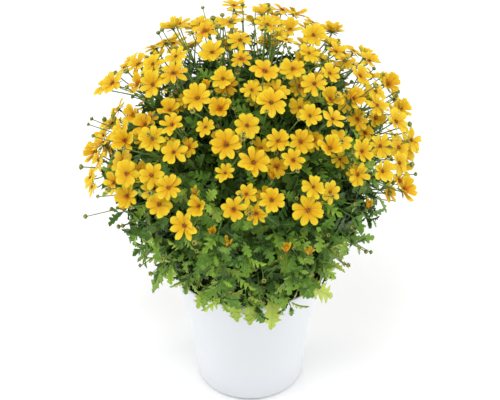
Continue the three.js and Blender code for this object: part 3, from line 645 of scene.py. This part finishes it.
carried = [[] for stem in stems]
starts = [[] for stem in stems]
for i in range(SHOOTS):
    share = (i + 0.5) / SHOOTS
    sine = sin(radians(LOWEST_SHOOT)) + share * (1 - sin(radians(LOWEST_SHOOT)))
    lift = degrees(asin(sine)) + between(-4, 4, i, 31)
    turn = GOLDEN_ANGLE * i + between(-5, 5, i, 32)
    outward = towards(turn, lift)
    side, rise = across(outward)
    lean = side * between(-0.35, 0.35, i, 33) + rise * between(-0.3, 0.35, i, 34)
    growth = (outward + lean).normalized()
    reach = between(74, 105, i, 35) if lift < 20 else between(61, 92, i, 35)
    side_turn = (turn + 180) % 360 - 180
    if lift < -20 and 34 < side_turn < 84 and draw(i, 40) < 0.7:
        continue
    if lift < -26 and -85 < side_turn < -34:
        reach -= 12
    if lift < 8 and 55 < side_turn < 122:
        reach -= 20 if lift < -16 else 14
    foot = from_middle(outward, reach)
    number = stem_of(from_middle(outward, 125))
    roll = Matrix.Rotation(6.28 * draw(i, 36), 4, "Z")
    spin = growth.to_track_quat("Z", "Y").to_matrix().to_4x4()
    spot = Matrix.Translation(foot * MM) @ spin @ roll @ Matrix.Scale(between(0.9, 1.12, i, 37), 4)
    tone = 0.22 + 0.26 * draw(i, 38) ** 2 + (0.12 if lift < -15 else 0)
    # Painted light: low shoots at the sides and back get a lighter tone
    if lift < -8 and abs(side_turn) > 40:
        tone += 0.05
    # Painted shade: low shoots at the front, under the bush, get a darker tone
    if lift < -18 and abs(side_turn) < 30:
        tone -= 0.06
    kind = i % 3 if lift < 14 + 30 * draw(i, 39) else 3 + i % 3
    carried[number].append(placed(shoots[kind], spot, tone))
    starts[number].append(foot + growth * 4)

for number, stem in enumerate(stems):
    outward = Vector((stem["middle"].x, stem["middle"].y, 0)).normalized()
    neck = outward * (stem["root"] + 4) + Vector((0, 0, (SOIL_TOP + stem["middle"].z) / 2))
    hub = stem["middle"] * 0.9 + Vector((0, 0, 0.1 * BUSH_HEIGHT))
    trunk = [(stem["foot"], 2.9), (stem["foot"] + Vector((0, 0, 24)), 2.7), (neck, 2.5), (hub, 2.0)]
    twigs = [[(neck.lerp(hub, 0.6 * i / len(starts[number])), 1.8), (hub.lerp(start, 0.4), 1.5), (start, 1.2)]
             for i, start in enumerate(starts[number])]
    carried[number].append(tubes("stem", [trunk] + twigs, stem_bark))

    bpy.ops.mesh.primitive_ico_sphere_add(subdivisions=3, radius=1)
    core = bpy.context.object
    for vertex in core.data.vertices:
        ray = vertex.co.normalized()
        rough = 0.98 - 0.2 * draw(number * 200 + vertex.index, 41)
        vertex.co = (stem["middle"] + ray * inside_reach(number, ray) * rough) * MM
    core.data.materials.append(shaded_leaves)
    for facet in core.data.polygons:
        thing = number * 400 + facet.index
        out = (facet.center / MM - Vector((0, 0, BUSH_HEIGHT))).normalized()
        if facet.normal.dot(out) < 0.25 or draw(thing, 42) > 0.55:
            continue
        side, rise = across(out)
        angle = 2 * pi * draw(thing, 43)
        slant = out * between(0.15, 0.7, thing, 44)
        growth = (side * cos(angle) + rise * sin(angle) + slant).normalized()
        spot = growing(facet.center / MM, growth, out, between(0.8, 1.15, thing, 45))
        leaf = (middle_leaves if number < 7 else top_leaves)[facet.index % 3]
        # Painted shade: the leaves on the dark core get a lower tone than the shoots, so they are darker
        carried[number].append(placed(leaf, spot, between(0.12, 0.36, thing, 46)))
    carried[number].append(core)

for i, (turn, out, height, aim, slope, size, tone) in enumerate(RIM_LEAVES + FRONT_LEAVES):
    foot = towards(turn, 0) * out + Vector((0, 0, height))
    growth = towards(turn + aim, slope)
    facing = towards(turn + between(-20, 20, i, 54), 45)
    carried[stem_of(foot)].append(placed(low_leaves[i % 3], growing(foot, growth, facing, size), tone))

# Broad leaves all round the lower half of the bush, which point down and aside
for i in range(SIDE_LEAVES):
    turn = GOLDEN_ANGLE * i + between(-8, 8, i, 91)
    lift = between(-33, 6, i, 92)
    out = towards(turn, lift)
    side_turn = (turn + 180) % 360 - 180
    inset = 18 if 34 < side_turn < 84 and lift < -18 else 0
    foot = from_middle(out, between(124, 136, i, 93) - inset)
    growth = towards(turn + between(-70, 70, i, 94), between(-60, -5, i, 95))
    aside = across(out)[0] * between(-1.5, 1.5, i, 99)
    facing = (out + aside + Vector((0, 0, between(0.3, 1.0, i, 96)))).normalized()
    tone = between(0.26, 0.5, i, 98)
    leaf = placed(low_leaves[i % 3], growing(foot, growth, facing, between(0.6, 0.85, i, 97)), tone)
    carried[stem_of(foot)].append(leaf)

for number, parts in enumerate(carried):
    bush = joined(f"leafy_stem_{number + 1:02d}_foliage", parts)
    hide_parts(f"leafy_stem_{number + 1:02d}")
    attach(bush, "root")

# Blooms
# A bloom is a daisy with eight broad golden petals round a small orange disc, held from behind by
# a cup of green bracts. Each petal has a blunt, slightly notched tip and soft lengthwise grooves.
BASE = [(0.02, 0.075, 0), (0.18, 0.14, 0), (0.36, 0.205, 0)]
BROAD = BASE + [(0.55, 0.272, 0), (0.74, 0.315, 0), (0.9, 0.28, 0), (1, 0.19, -0.03)]
BLUNT = BASE + [(0.55, 0.255, 0), (0.74, 0.285, 0), (0.91, 0.245, -0.01), (1, 0.16, -0.03)]
TAPERED = BASE + [(0.54, 0.245, 0), (0.69, 0.26, 0), (0.86, 0.205, -0.01), (1, 0.085, -0.02)]
PETAL_LENGTH = 16
PETALS = [  # outline, fold, arch and bend
    (BLUNT, 0.15, 0.10, 0), (TAPERED, -0.15, 0.20, 0.04), (BROAD, 0.35, -0.08, 0),
    (BLUNT, -0.25, 0.05, -0.05), (TAPERED, 0.3, 0.14, -0.03),
]
# Petal: golden yellow, ochre in its inner half (partly its own colour and partly painted shade) and
# orange at its foot, with three soft grooves painted darker as shade that fades towards the tip and a fine
# lengthwise grain; satin, and thin enough to let light through
petal_yellow, add = new_material("petal_golden_yellow")
place = add("TexCoord", output="Object")
grid = add("TexCoord", output="UV")
across_petal = add("SeparateXYZ", {"Vector": grid}, output="X")
along_petal = add("SeparateXYZ", {"Vector": grid}, output="Y")
tone = add("Attribute", {"attribute_name": "tone"}, output="Fac")
mottle = add("TexNoise", {"Vector": place, "Scale": 1 / (9 * MM), "Detail": 3.0})
along = add("Math", {"operation": "MULTIPLY", 0: along_petal, 1: VEIN_ROWS / 6})
spread = add("Math", {"operation": "MULTIPLY_ADD", 0: mottle, 1: 0.24, 2: along})
orange = add("Math", {"operation": "SUBTRACT", 0: spread, 1: tone})
# The ochre of the inner half is partly the petal's own colour and partly painted shade
gold = add("ValToRGB", {"Fac": orange}, stops=[
    (0, "#B5600C"), (0.08, "#C8850F"), (0.2, "#D8A516"), (0.5, "#DFB21A"), (0.78, "#E5C226"), (1, "#E8CB2E")])
# Painted shade: the three grooves of each petal are darkened towards #C27E0B, most near the foot
furrows = add("Math", {"operation": "MULTIPLY_ADD", 0: across_petal, 1: 2 * pi * 3, 2: pi})
furrow = add("Math", {"operation": "COSINE", 0: furrows})
deep = add("MapRange", {"Value": furrow, "From Min": 0.2, "From Max": 1.0})
fading = add("MapRange", {"Value": along, "From Min": 0.2, "From Max": 0.95, "To Min": 0.48, "To Max": 0.0})
vein = add("Math", {"operation": "MULTIPLY", 0: deep, 1: fading})
gold_with_painted_groove_shade = add("MixRGB", {"Fac": vein, "Color1": gold, "Color2": colour("#C27E0B")})
stripes = add("Math", {"operation": "MULTIPLY", 0: across_petal, 1: 2 * pi * 9})
ridges = add("Math", {"operation": "COSINE", 0: stripes})
grooves = add("Bump", {"Height": ridges, "Strength": 0.25, "Distance": 0.0003, "invert": True})
finish_material(petal_yellow, {
    "Base Color": gold_with_painted_groove_shade, "Normal": grooves, "Roughness": 0.6, "Specular IOR Level": 0.15,
    "Subsurface Weight": 0.35, "Subsurface Radius": (1.0, 0.7, 0.15), "Subsurface Scale": 0.002})
# Back of a petal: paler and dull, partly its own colour and partly painted light for the light that comes
# through, which it also scatters under its surface; with fine olive veins
petal_back, add = new_material("petal_underside")
grid = add("TexCoord", output="UV")
across_petal = add("SeparateXYZ", {"Vector": grid}, output="X")
stripes = add("Math", {"operation": "MULTIPLY", 0: across_petal, 1: 2 * pi * 7})
ridges = add("Math", {"operation": "COSINE", 0: stripes})
vein = add("MapRange", {"Value": ridges, "From Min": 0.5, "From Max": 1.0, "To Max": 0.3})
tone = add("Attribute", {"attribute_name": "tone"}, output="Fac")
# Painted light: the back is paler than the front, as if lit by the light that comes through
pale_gold_and_painted_glow = add("ValToRGB", {"Fac": tone}, stops=[(0.0, "#EFCC3E"), (0.16, "#EBC238"), (0.36, "#D8921A")])
lined = add("MixRGB", {"Fac": vein, "Color1": pale_gold_and_painted_glow, "Color2": colour("#A8862A")})
finish_material(petal_back, {
    "Base Color": lined, "Roughness": 0.7, "Specular IOR Level": 0.1,
    "Subsurface Weight": 0.5, "Subsurface Radius": (1.0, 0.8, 0.2), "Subsurface Scale": 0.003})
# Disc: tiny tubular florets, orange with brown anthers
disc_orange = speckled(
    "disc_florets", 1.1, [(0.35, "#3E200D"), (0.5, "#7F4A12"), (0.68, "#CF8D22")], {"Roughness": 0.8})
# Flower stalks, bracts and cups: thin, grey-green, dull
olive = [(0.3, "#4F6A2B"), (0.55, "#728F3F"), (0.75, "#96AB58")]
stalk_green = speckled("flower_stalk_and_bracts", 12, olive, {"Roughness": 0.6})

petals = [blade("petal", PETAL_LENGTH, rows, 4, 0.5, *form, [petal_yellow, petal_back])
          for rows, *form in PETALS]
for petal in petals:
    select_only([petal])
    edit_mode(True)
    select(lambda vertex: abs(vertex.co.x) < 0.2 * MM and vertex.co.y > 15.9 * MM)
    bpy.ops.transform.translate(value=(0, -0.9 * MM, 0))
    select(lambda vertex: 0.4 * MM < abs(vertex.co.x) < 2 * MM and vertex.co.y > 15.4 * MM)
    bpy.ops.transform.translate(value=(0, 0.4 * MM, 0))
    select(lambda vertex: 0.4 * MM < abs(vertex.co.x) < 3 * MM and 3 * MM < vertex.co.y < 14.5 * MM)
    bpy.ops.transform.translate(value=(0, 0, 0.5 * MM))
    edit_mode(False)
bract = blade("bract", 9, BRACT, 2, 0.4, 0.3, -0.1, 0, [stalk_green])


def cone(sides, low_radius, high_radius, depth, height, material):
    """A cone that is cut off above, with its middle at a height. In mm."""
    bpy.ops.mesh.primitive_cone_add(vertices=sides, radius1=low_radius * MM, radius2=high_radius * MM,
                                    depth=depth * MM, location=(0, 0, height * MM))
    bpy.ops.object.transform_apply()
    piece = bpy.context.object
    piece.data.materials.append(material)
    return piece


floret = cone(4, 0.46, 0.32, 1.3, 0.65, disc_orange)
FLORETS = 12
FLORET_TURN = 2.39996  # the golden angle, in radians


def bloom_head(number, count, rise, spread, narrow, tone):
    """A bloom that looks up from its cup at the origin: petals, disc and bracts."""
    bpy.ops.mesh.primitive_uv_sphere_add(segments=8, ring_count=4, radius=2.4 * MM)
    bpy.ops.transform.resize(value=(1, 1, 0.5), center_override=(0, 0, 0))
    bpy.ops.object.transform_apply()
    disc = bpy.context.object
    disc.data.materials.append(disc_orange)
    parts = [disc, cone(8, 0.9, 2.6, 2.6, -1.3, stalk_green)]
    for i in range(FLORETS):
        radius = 2.1 * sqrt((i + 0.5) / FLORETS)
        angle = FLORET_TURN * i
        lean = Matrix.Rotation(0.25 * radius, 4, (-sin(angle), cos(angle), 0))
        spot = Matrix.Translation((radius * cos(angle) * MM, radius * sin(angle) * MM, 0.6 * MM))
        parts.append(placed(floret, spot @ lean))
    for i in range(count):
        thing = number * 20 + i
        turn = 360 * i / count + between(-8, 8, thing, 61)
        climb = rise + between(-spread, spread, thing, 62) + (3 if i % 2 else -3)
        growth = towards(turn, climb)
        facing = towards(turn + between(-30, 30, thing, 63), 90 + climb)
        foot = towards(turn, 0) * 1.2 + Vector((0, 0, 0.12 * (i % 2)))
        width = narrow * between(0.8, 1.08, thing, 67)
        spot = growing(foot, growth, facing) @ Matrix.Diagonal((width, between(0.84, 1.0, thing, 64), 1, 1))
        parts.append(placed(petals[int(5 * draw(thing, 65))], spot, tone + between(-0.06, 0.1, thing, 66)))
    for i in range(8):
        turn = 45 * i + 22
        climb = min(70, rise - 14 - 22 * (i % 2))
        foot = towards(turn, 0) * 1.6 + Vector((0, 0, -1.7))
        size = 0.7 + 0.25 * (i % 2)
        parts.append(placed(bract, growing(foot, towards(turn, climb), towards(turn, 90 + climb), size)))
    return joined("bloom", parts)


# Open blooms with more or less cupped petals, and half-open ones that are more orange. Each has
# its number, petals, lift of the petals and its spread in degrees, width and tone
OPEN = [
    (0, 8, 14, 10, 1, 0), (1, 8, 24, 11, 0.97, 0.03), (2, 8, 7, 12, 1.03, -0.03), (3, 8, 16, 10, 1.18, 0),
    (4, 9, 10, 12, 0.88, 0.05), (5, 8, 34, 10, 0.92, 0.08), (8, 8, 4, 12, 0.85, 0.1), (9, 8, 20, 17, 1, 0.02),
    (10, 7, 12, 15, 1.12, 0), (11, 8, 28, 15, 0.95, 0.04),
]
open_blooms = [bloom_head(*form) for form in OPEN]
half_blooms = [bloom_head(*form) for form in ((6, 8, 76, 7, 0.6, 0.3), (7, 7, 82, 6, 0.6, 0.38))]

# Bud: a round button of green bracts with a yellow-green collar and a dark brown top, where
# the petals will break
bud_collar = speckled(
    "bud_collar", 1.5, [(0.35, "#5F7429"), (0.5, "#8E9636"), (0.65, "#B5A53C")], {"Roughness": 0.7})
bud_top = speckled(
    "bud_top", 0.9, [(0.35, "#24120A"), (0.55, "#5A2F12"), (0.75, "#B0701C")], {"Roughness": 0.7})
bpy.ops.mesh.primitive_uv_sphere_add(segments=8, ring_count=6, radius=2.7 * MM, location=(0, 0, 2.6 * MM))
bpy.ops.object.transform_apply()
button = bpy.context.object
for material in (stalk_green, bud_collar, bud_top):
    button.data.materials.append(material)
edit_mode(True)
for slot, height in ((1, 2.5), (2, 4.6)):
    select(lambda vertex: vertex.co.z > height * MM)
    button.active_material_index = slot
    bpy.ops.object.material_slot_assign()
bpy.ops.transform.resize(value=(1.1, 1.1, 0.3), center_override=(0, 0, 4.3 * MM))
edit_mode(False)
bpy.ops.object.shade_smooth_by_angle(angle=radians(40))
parts = [button]
for turn in range(0, 360, 60):
    parts.append(placed(bract, growing(towards(turn, 0) * 1.2, towards(turn, 48), towards(turn, 138), 0.5)))
bud = joined("bud", parts)

# Flower sprays
# A thin stalk comes out of the foliage and forks into a wiry stalk for each bloom and bud. The
# blooms stand on slightly different levels and turn a little up, to the light.
BUD_OUTS = [0, 3, 6, 9, 12, 15, 18]
STALK_ROOT = 92
STALK_STEP = 1.1
HEAD_RADIUS = 16.6
LOW_BLOOMS = 600  # number of the first of the smaller blooms that stand lower


def heading(spot, direction, spin, scale):
    """Places a bloom or bud that looks along a direction. In mm."""
    turn = direction.to_track_quat("Z", "Y").to_matrix().to_4x4()
    return Matrix.Translation(spot * MM) @ turn @ Matrix.Rotation(spin, 4, "Z") @ Matrix.Scale(scale, 4)


def bud_place(spray, side, rise, fork):
    """The widest gap between the blooms of a spray, and how far out a bud stands in it."""
    angles = sorted(atan2((bloom["centre"] - fork).dot(rise), (bloom["centre"] - fork).dot(side))
                    for bloom in spray["blooms"])
    gaps = [(angles + [angles[0] + 2 * pi])[i + 1] - angle for i, angle in enumerate(angles)]
    widest = gaps.index(max(gaps))
    angle = angles[widest] + gaps[widest] / 2
    spoke = side * cos(angle) + rise * sin(angle)

    def room(out):
        spot = from_middle(spray["direction"], BLOOM_DOME) + spoke * out
        return min((from_middle(bloom["direction"], BLOOM_DOME) - spot).length - bloom["radius"]
                   for bloom in spray["blooms"])

    out = max(BUD_OUTS, key=room)
    return spoke, out, room(out) > 2.5 or len(angles) < 3


def facing_light(direction, thing):
    """Blooms turn up, to the light, and those of the front and the sides also to the front."""
    back = max(0, direction.y)
    forward = Vector((0, -0.45 * max(0.35, min(1, 1 - 2 * direction.y)), 0.5 + 0.6 * back))
    scatter = Vector((draw(thing, 5) - 0.5, draw(thing, 6) - 0.5, 0)) * (0.5 if draw(thing, 7) < 0.7 else 1.2)
    return (direction + forward + scatter).normalized()


def kept_inside(centre, normal, radius):
    """Moves a bloom or bud inwards until it stays within the box of the model."""
    for axis in range(3):
        reach = radius * (0.98 * sqrt(1 - normal[axis] ** 2) + 0.4 * abs(normal[axis])) + 0.5
        centre[axis] = max(cad_box[0][axis] / MM + reach, min(cad_box[1][axis] / MM - reach, centre[axis]))
    return centre


for number, spray in enumerate(sprays):
    axis = spray["direction"]
    side, rise = across(axis)
    fork = from_middle(axis, FORK_RADIUS)
    root = from_middle(axis, STALK_ROOT)
    clumping = between(0.0, 0.3, number, 70)
    for i in range(2):
        thing = LOW_BLOOMS + 2 * number + i
        angle = 6.28 * draw(thing, 78)
        spoke = side * cos(angle) + rise * sin(angle)
        low = {"number": thing, "level": between(-36, -22, thing, 79)}
        low["radius"] = between(11.5, 15, thing, 4)
        low["direction"] = (axis * BLOOM_DOME + spoke * between(12, 34, thing, 80)).normalized()
        chance = 0.8 if 50 < abs(spray["turn"]) < 110 else 0.3
        if spray["lift"] > 28 or draw(thing, 81) < chance:
            spray["blooms"].append(low)
    paths = [[(root, 1.3), (root.lerp(fork, 0.5) + side * 3, 1.15), (fork, 1.0)]]
    parts = []
    for i, bloom in enumerate(spray["blooms"]):
        thing = bloom["number"]
        out = bloom["direction"].lerp(axis, clumping)
        out.z += 0.09 * max(0, min(1, 1.6 - 3 * out.z)) * max(0, -out.y)
        out.normalize()
        normal = facing_light(out, thing)
        level = BLOOM_DOME + bloom["level"] + 3 * (i % 2)
        bloom["centre"] = kept_inside(from_middle(out, level), normal, bloom["radius"])
        neck = bloom["centre"] - normal * 2.2
        middle = fork.lerp(neck, 0.5) + axis * 3
        start = fork - axis * STALK_STEP * i
        paths.append([(start, 0.85), (middle, 0.75), (neck - normal * 8, 0.65), (neck, 0.75)])
        head = open_blooms[int(len(open_blooms) * draw(thing, 71))]
        size = bloom["radius"] / HEAD_RADIUS * between(0.8, 1.06, thing, 68)
        spot = heading(bloom["centre"], normal, 6.28 * draw(thing, 72), size)
        tone = between(-0.05, 0.16, thing, 73) + (0.1 if thing >= LOW_BLOOMS else 0)
        parts.append(placed(head, spot, tone))
    spoke, out, stands = bud_place(spray, side, rise, fork)
    lowest = fork - axis * STALK_STEP * len(spray["blooms"])
    if stands:
        foot = kept_inside(from_middle(axis, BLOOM_DOME + 6) + spoke * out, axis, 14)
        paths.append([(lowest, 0.8), (fork.lerp(foot, 0.5) + spoke * 2, 0.7), (foot, 0.7)])
        parts.append(placed(bud, heading(foot, axis, 0, 1.15)))
    for i in range(2):
        thing = 2 * number + i
        angle = 2 * pi * draw(thing, 74)
        spoke = side * cos(angle) + rise * sin(angle)
        foot = from_middle(axis, between(158, 172, thing, 75)) + spoke * between(5, 14, thing, 76)
        way = (axis + spoke * 0.4).normalized()
        start = lowest - axis * STALK_STEP * (i + 1)
        paths.append([(start, 0.75), (fork.lerp(foot, 0.5) + spoke * 2, 0.6), (foot, 0.6)])
        parts.append(placed(bud, heading(foot, way, 0, between(0.7, 1.0, thing, 77))))
        growth = (axis * 0.6 + spoke).normalized()
        parts.append(placed(top_leaves[i], growing(fork - axis * 14, growth, axis, 0.5), 0.35))
    parts.insert(0, tubes("stalks", paths, stalk_green))
    heads = joined(f"flower_spray_{number + 1:02d}_blooms", parts)
    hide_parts(f"flower_spray_{number + 1:02d}")
    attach(heads, "root")

# Low buds and half-open blooms
# Below the dome of open blooms, short side shoots carry buds and half-open orange blooms that
# stand just clear of the leaves. More buds stand between the open blooms and a little above them.
HALF_OPEN = [  # turn and lift
    (-21.5, 24.5), (-14, 9), (-8.5, 6), (13.5, 2.5), (22.5, -0.5), (9, 32), (-58, 4), (52, 8), (80, 2),
    (118, 5), (163, 2), (204, 8), (249, 0), (-35, 62), (28, 70), (-80, 50), (66, 48),
]
BUDS = 170
LOW_BUDS = 55
GOLDEN_SHARE = 0.618  # of a full turn
paths = []
parts = []
for i, (turn, lift) in enumerate(HALF_OPEN):
    out = towards(turn, lift)
    neck = from_middle(out, 166 if lift < 20 else 176)
    up = (out * 0.3 + Vector((0, 0, 1))).normalized()
    foot = from_middle(out, 110) - Vector((0, 0, 12))
    bow = from_middle(out, 150) - Vector((0, 0, 8))
    paths.append([(foot, 1.0), (bow, 0.85), (neck - up * 6, 0.8), (neck, 0.8)])
    parts.append(placed(half_blooms[i % 2], heading(neck + up * 2, up, i, between(0.72, 0.9, i, 85)), 0.0))
for i in range(BUDS):
    high = i >= LOW_BUDS
    lift = between(-8, 85, i, 81) if high else between(-26, 20, i, 81)
    out = towards(360 * ((i * GOLDEN_SHARE) % 1), lift)
    up = (out + Vector((0, 0, between(0.1, 0.8, i, 83)))).normalized()
    reach = between(194, 205, i, 82) if i % 4 == 0 else between(168, 194, i, 82)
    foot = from_middle(out, reach if high else between(156, 168, i, 82))
    foot = kept_inside(foot, up, 15)
    bow = foot.lerp(from_middle(out, 145), 0.5) - up * 6
    paths.append([(from_middle(out, 112), 0.8), (bow, 0.6), (foot, 0.55)])
    parts.append(placed(bud, heading(foot, up, i, between(0.65, 1.0, i, 84))))
parts.insert(0, tubes("low_stalks", paths, stalk_green))
low_buds = joined("low_buds_and_half_open_blooms", parts)
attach(low_buds, "root")

for prototype in [*low_leaves, *middle_leaves, *top_leaves, *shoots, *petals, bract, floret,
                  *open_blooms, *half_blooms, bud]:
    bpy.data.objects.remove(prototype)

# Floor, lights and camera
# The plant stands on a plain white sweep in soft, high-key studio light from a large soft box
# above, one on each side, a faint one behind and a pale room. The camera looks down by 35 degrees.
bpy.ops.mesh.primitive_plane_add(size=12, location=(0, 0, 0))
floor = bpy.context.object
floor.name = "studio_floor"
# Paper: matt white, with a faint unevenness of about 25 cm
paper = speckled("white_studio_paper", 250, [(0.3, "#FBFBFB"), (0.7, "#FEFEFE")],
                 {"Roughness": 0.9, "Specular IOR Level": 0.1})
floor.data.materials.append(paper)


def soft_box(name, spot, aim, size, power):
    light = bpy.data.lights.new(name, "AREA")
    light.shape = "DISK"
    light.size = size
    light.energy = power
    lamp = bpy.data.objects.new(name, light)
    bpy.context.scene.collection.objects.link(lamp)
    lamp.location = spot
    lamp.rotation_euler = (Vector(aim) - Vector(spot)).to_track_quat("-Z", "Y").to_euler()


soft_box("top_soft_box", (-0.2, -1.0, 2.2), (0, 0, 0.3), 0.8, 17)
soft_box("left_soft_box", (-2.1, 0.4, 0.8), (0, 0, 0.2), 1.2, 12)
soft_box("right_soft_box", (2.1, 0.4, 0.8), (0, 0, 0.2), 1.2, 13)
soft_box("back_soft_box", (0, 2.1, 1.2), (0, 0, 0.3), 1.2, 4)
world = bpy.data.worlds.new("pale_room")
world.use_nodes = True
world.node_tree.nodes["Background"].inputs["Color"].default_value = (1, 1, 1, 1)
world.node_tree.nodes["Background"].inputs["Strength"].default_value = 0.87
bpy.context.scene.world = world
bpy.context.scene.view_settings.view_transform = "Standard"

CAMERA_DROP = 35  # degrees below level
CAMERA_DISTANCE = 2.12
CAMERA_AIM = 0.256  # height above the floor
lens = bpy.data.cameras.new("camera")
lens.lens = 130
lens.sensor_width = 36
camera = bpy.data.objects.new("camera", lens)
bpy.context.scene.collection.objects.link(camera)
drop = radians(CAMERA_DROP)
camera.location = (0, -CAMERA_DISTANCE * cos(drop), CAMERA_AIM + CAMERA_DISTANCE * sin(drop))
camera.rotation_euler = (pi / 2 - drop, 0, 0)
bpy.context.scene.camera = camera
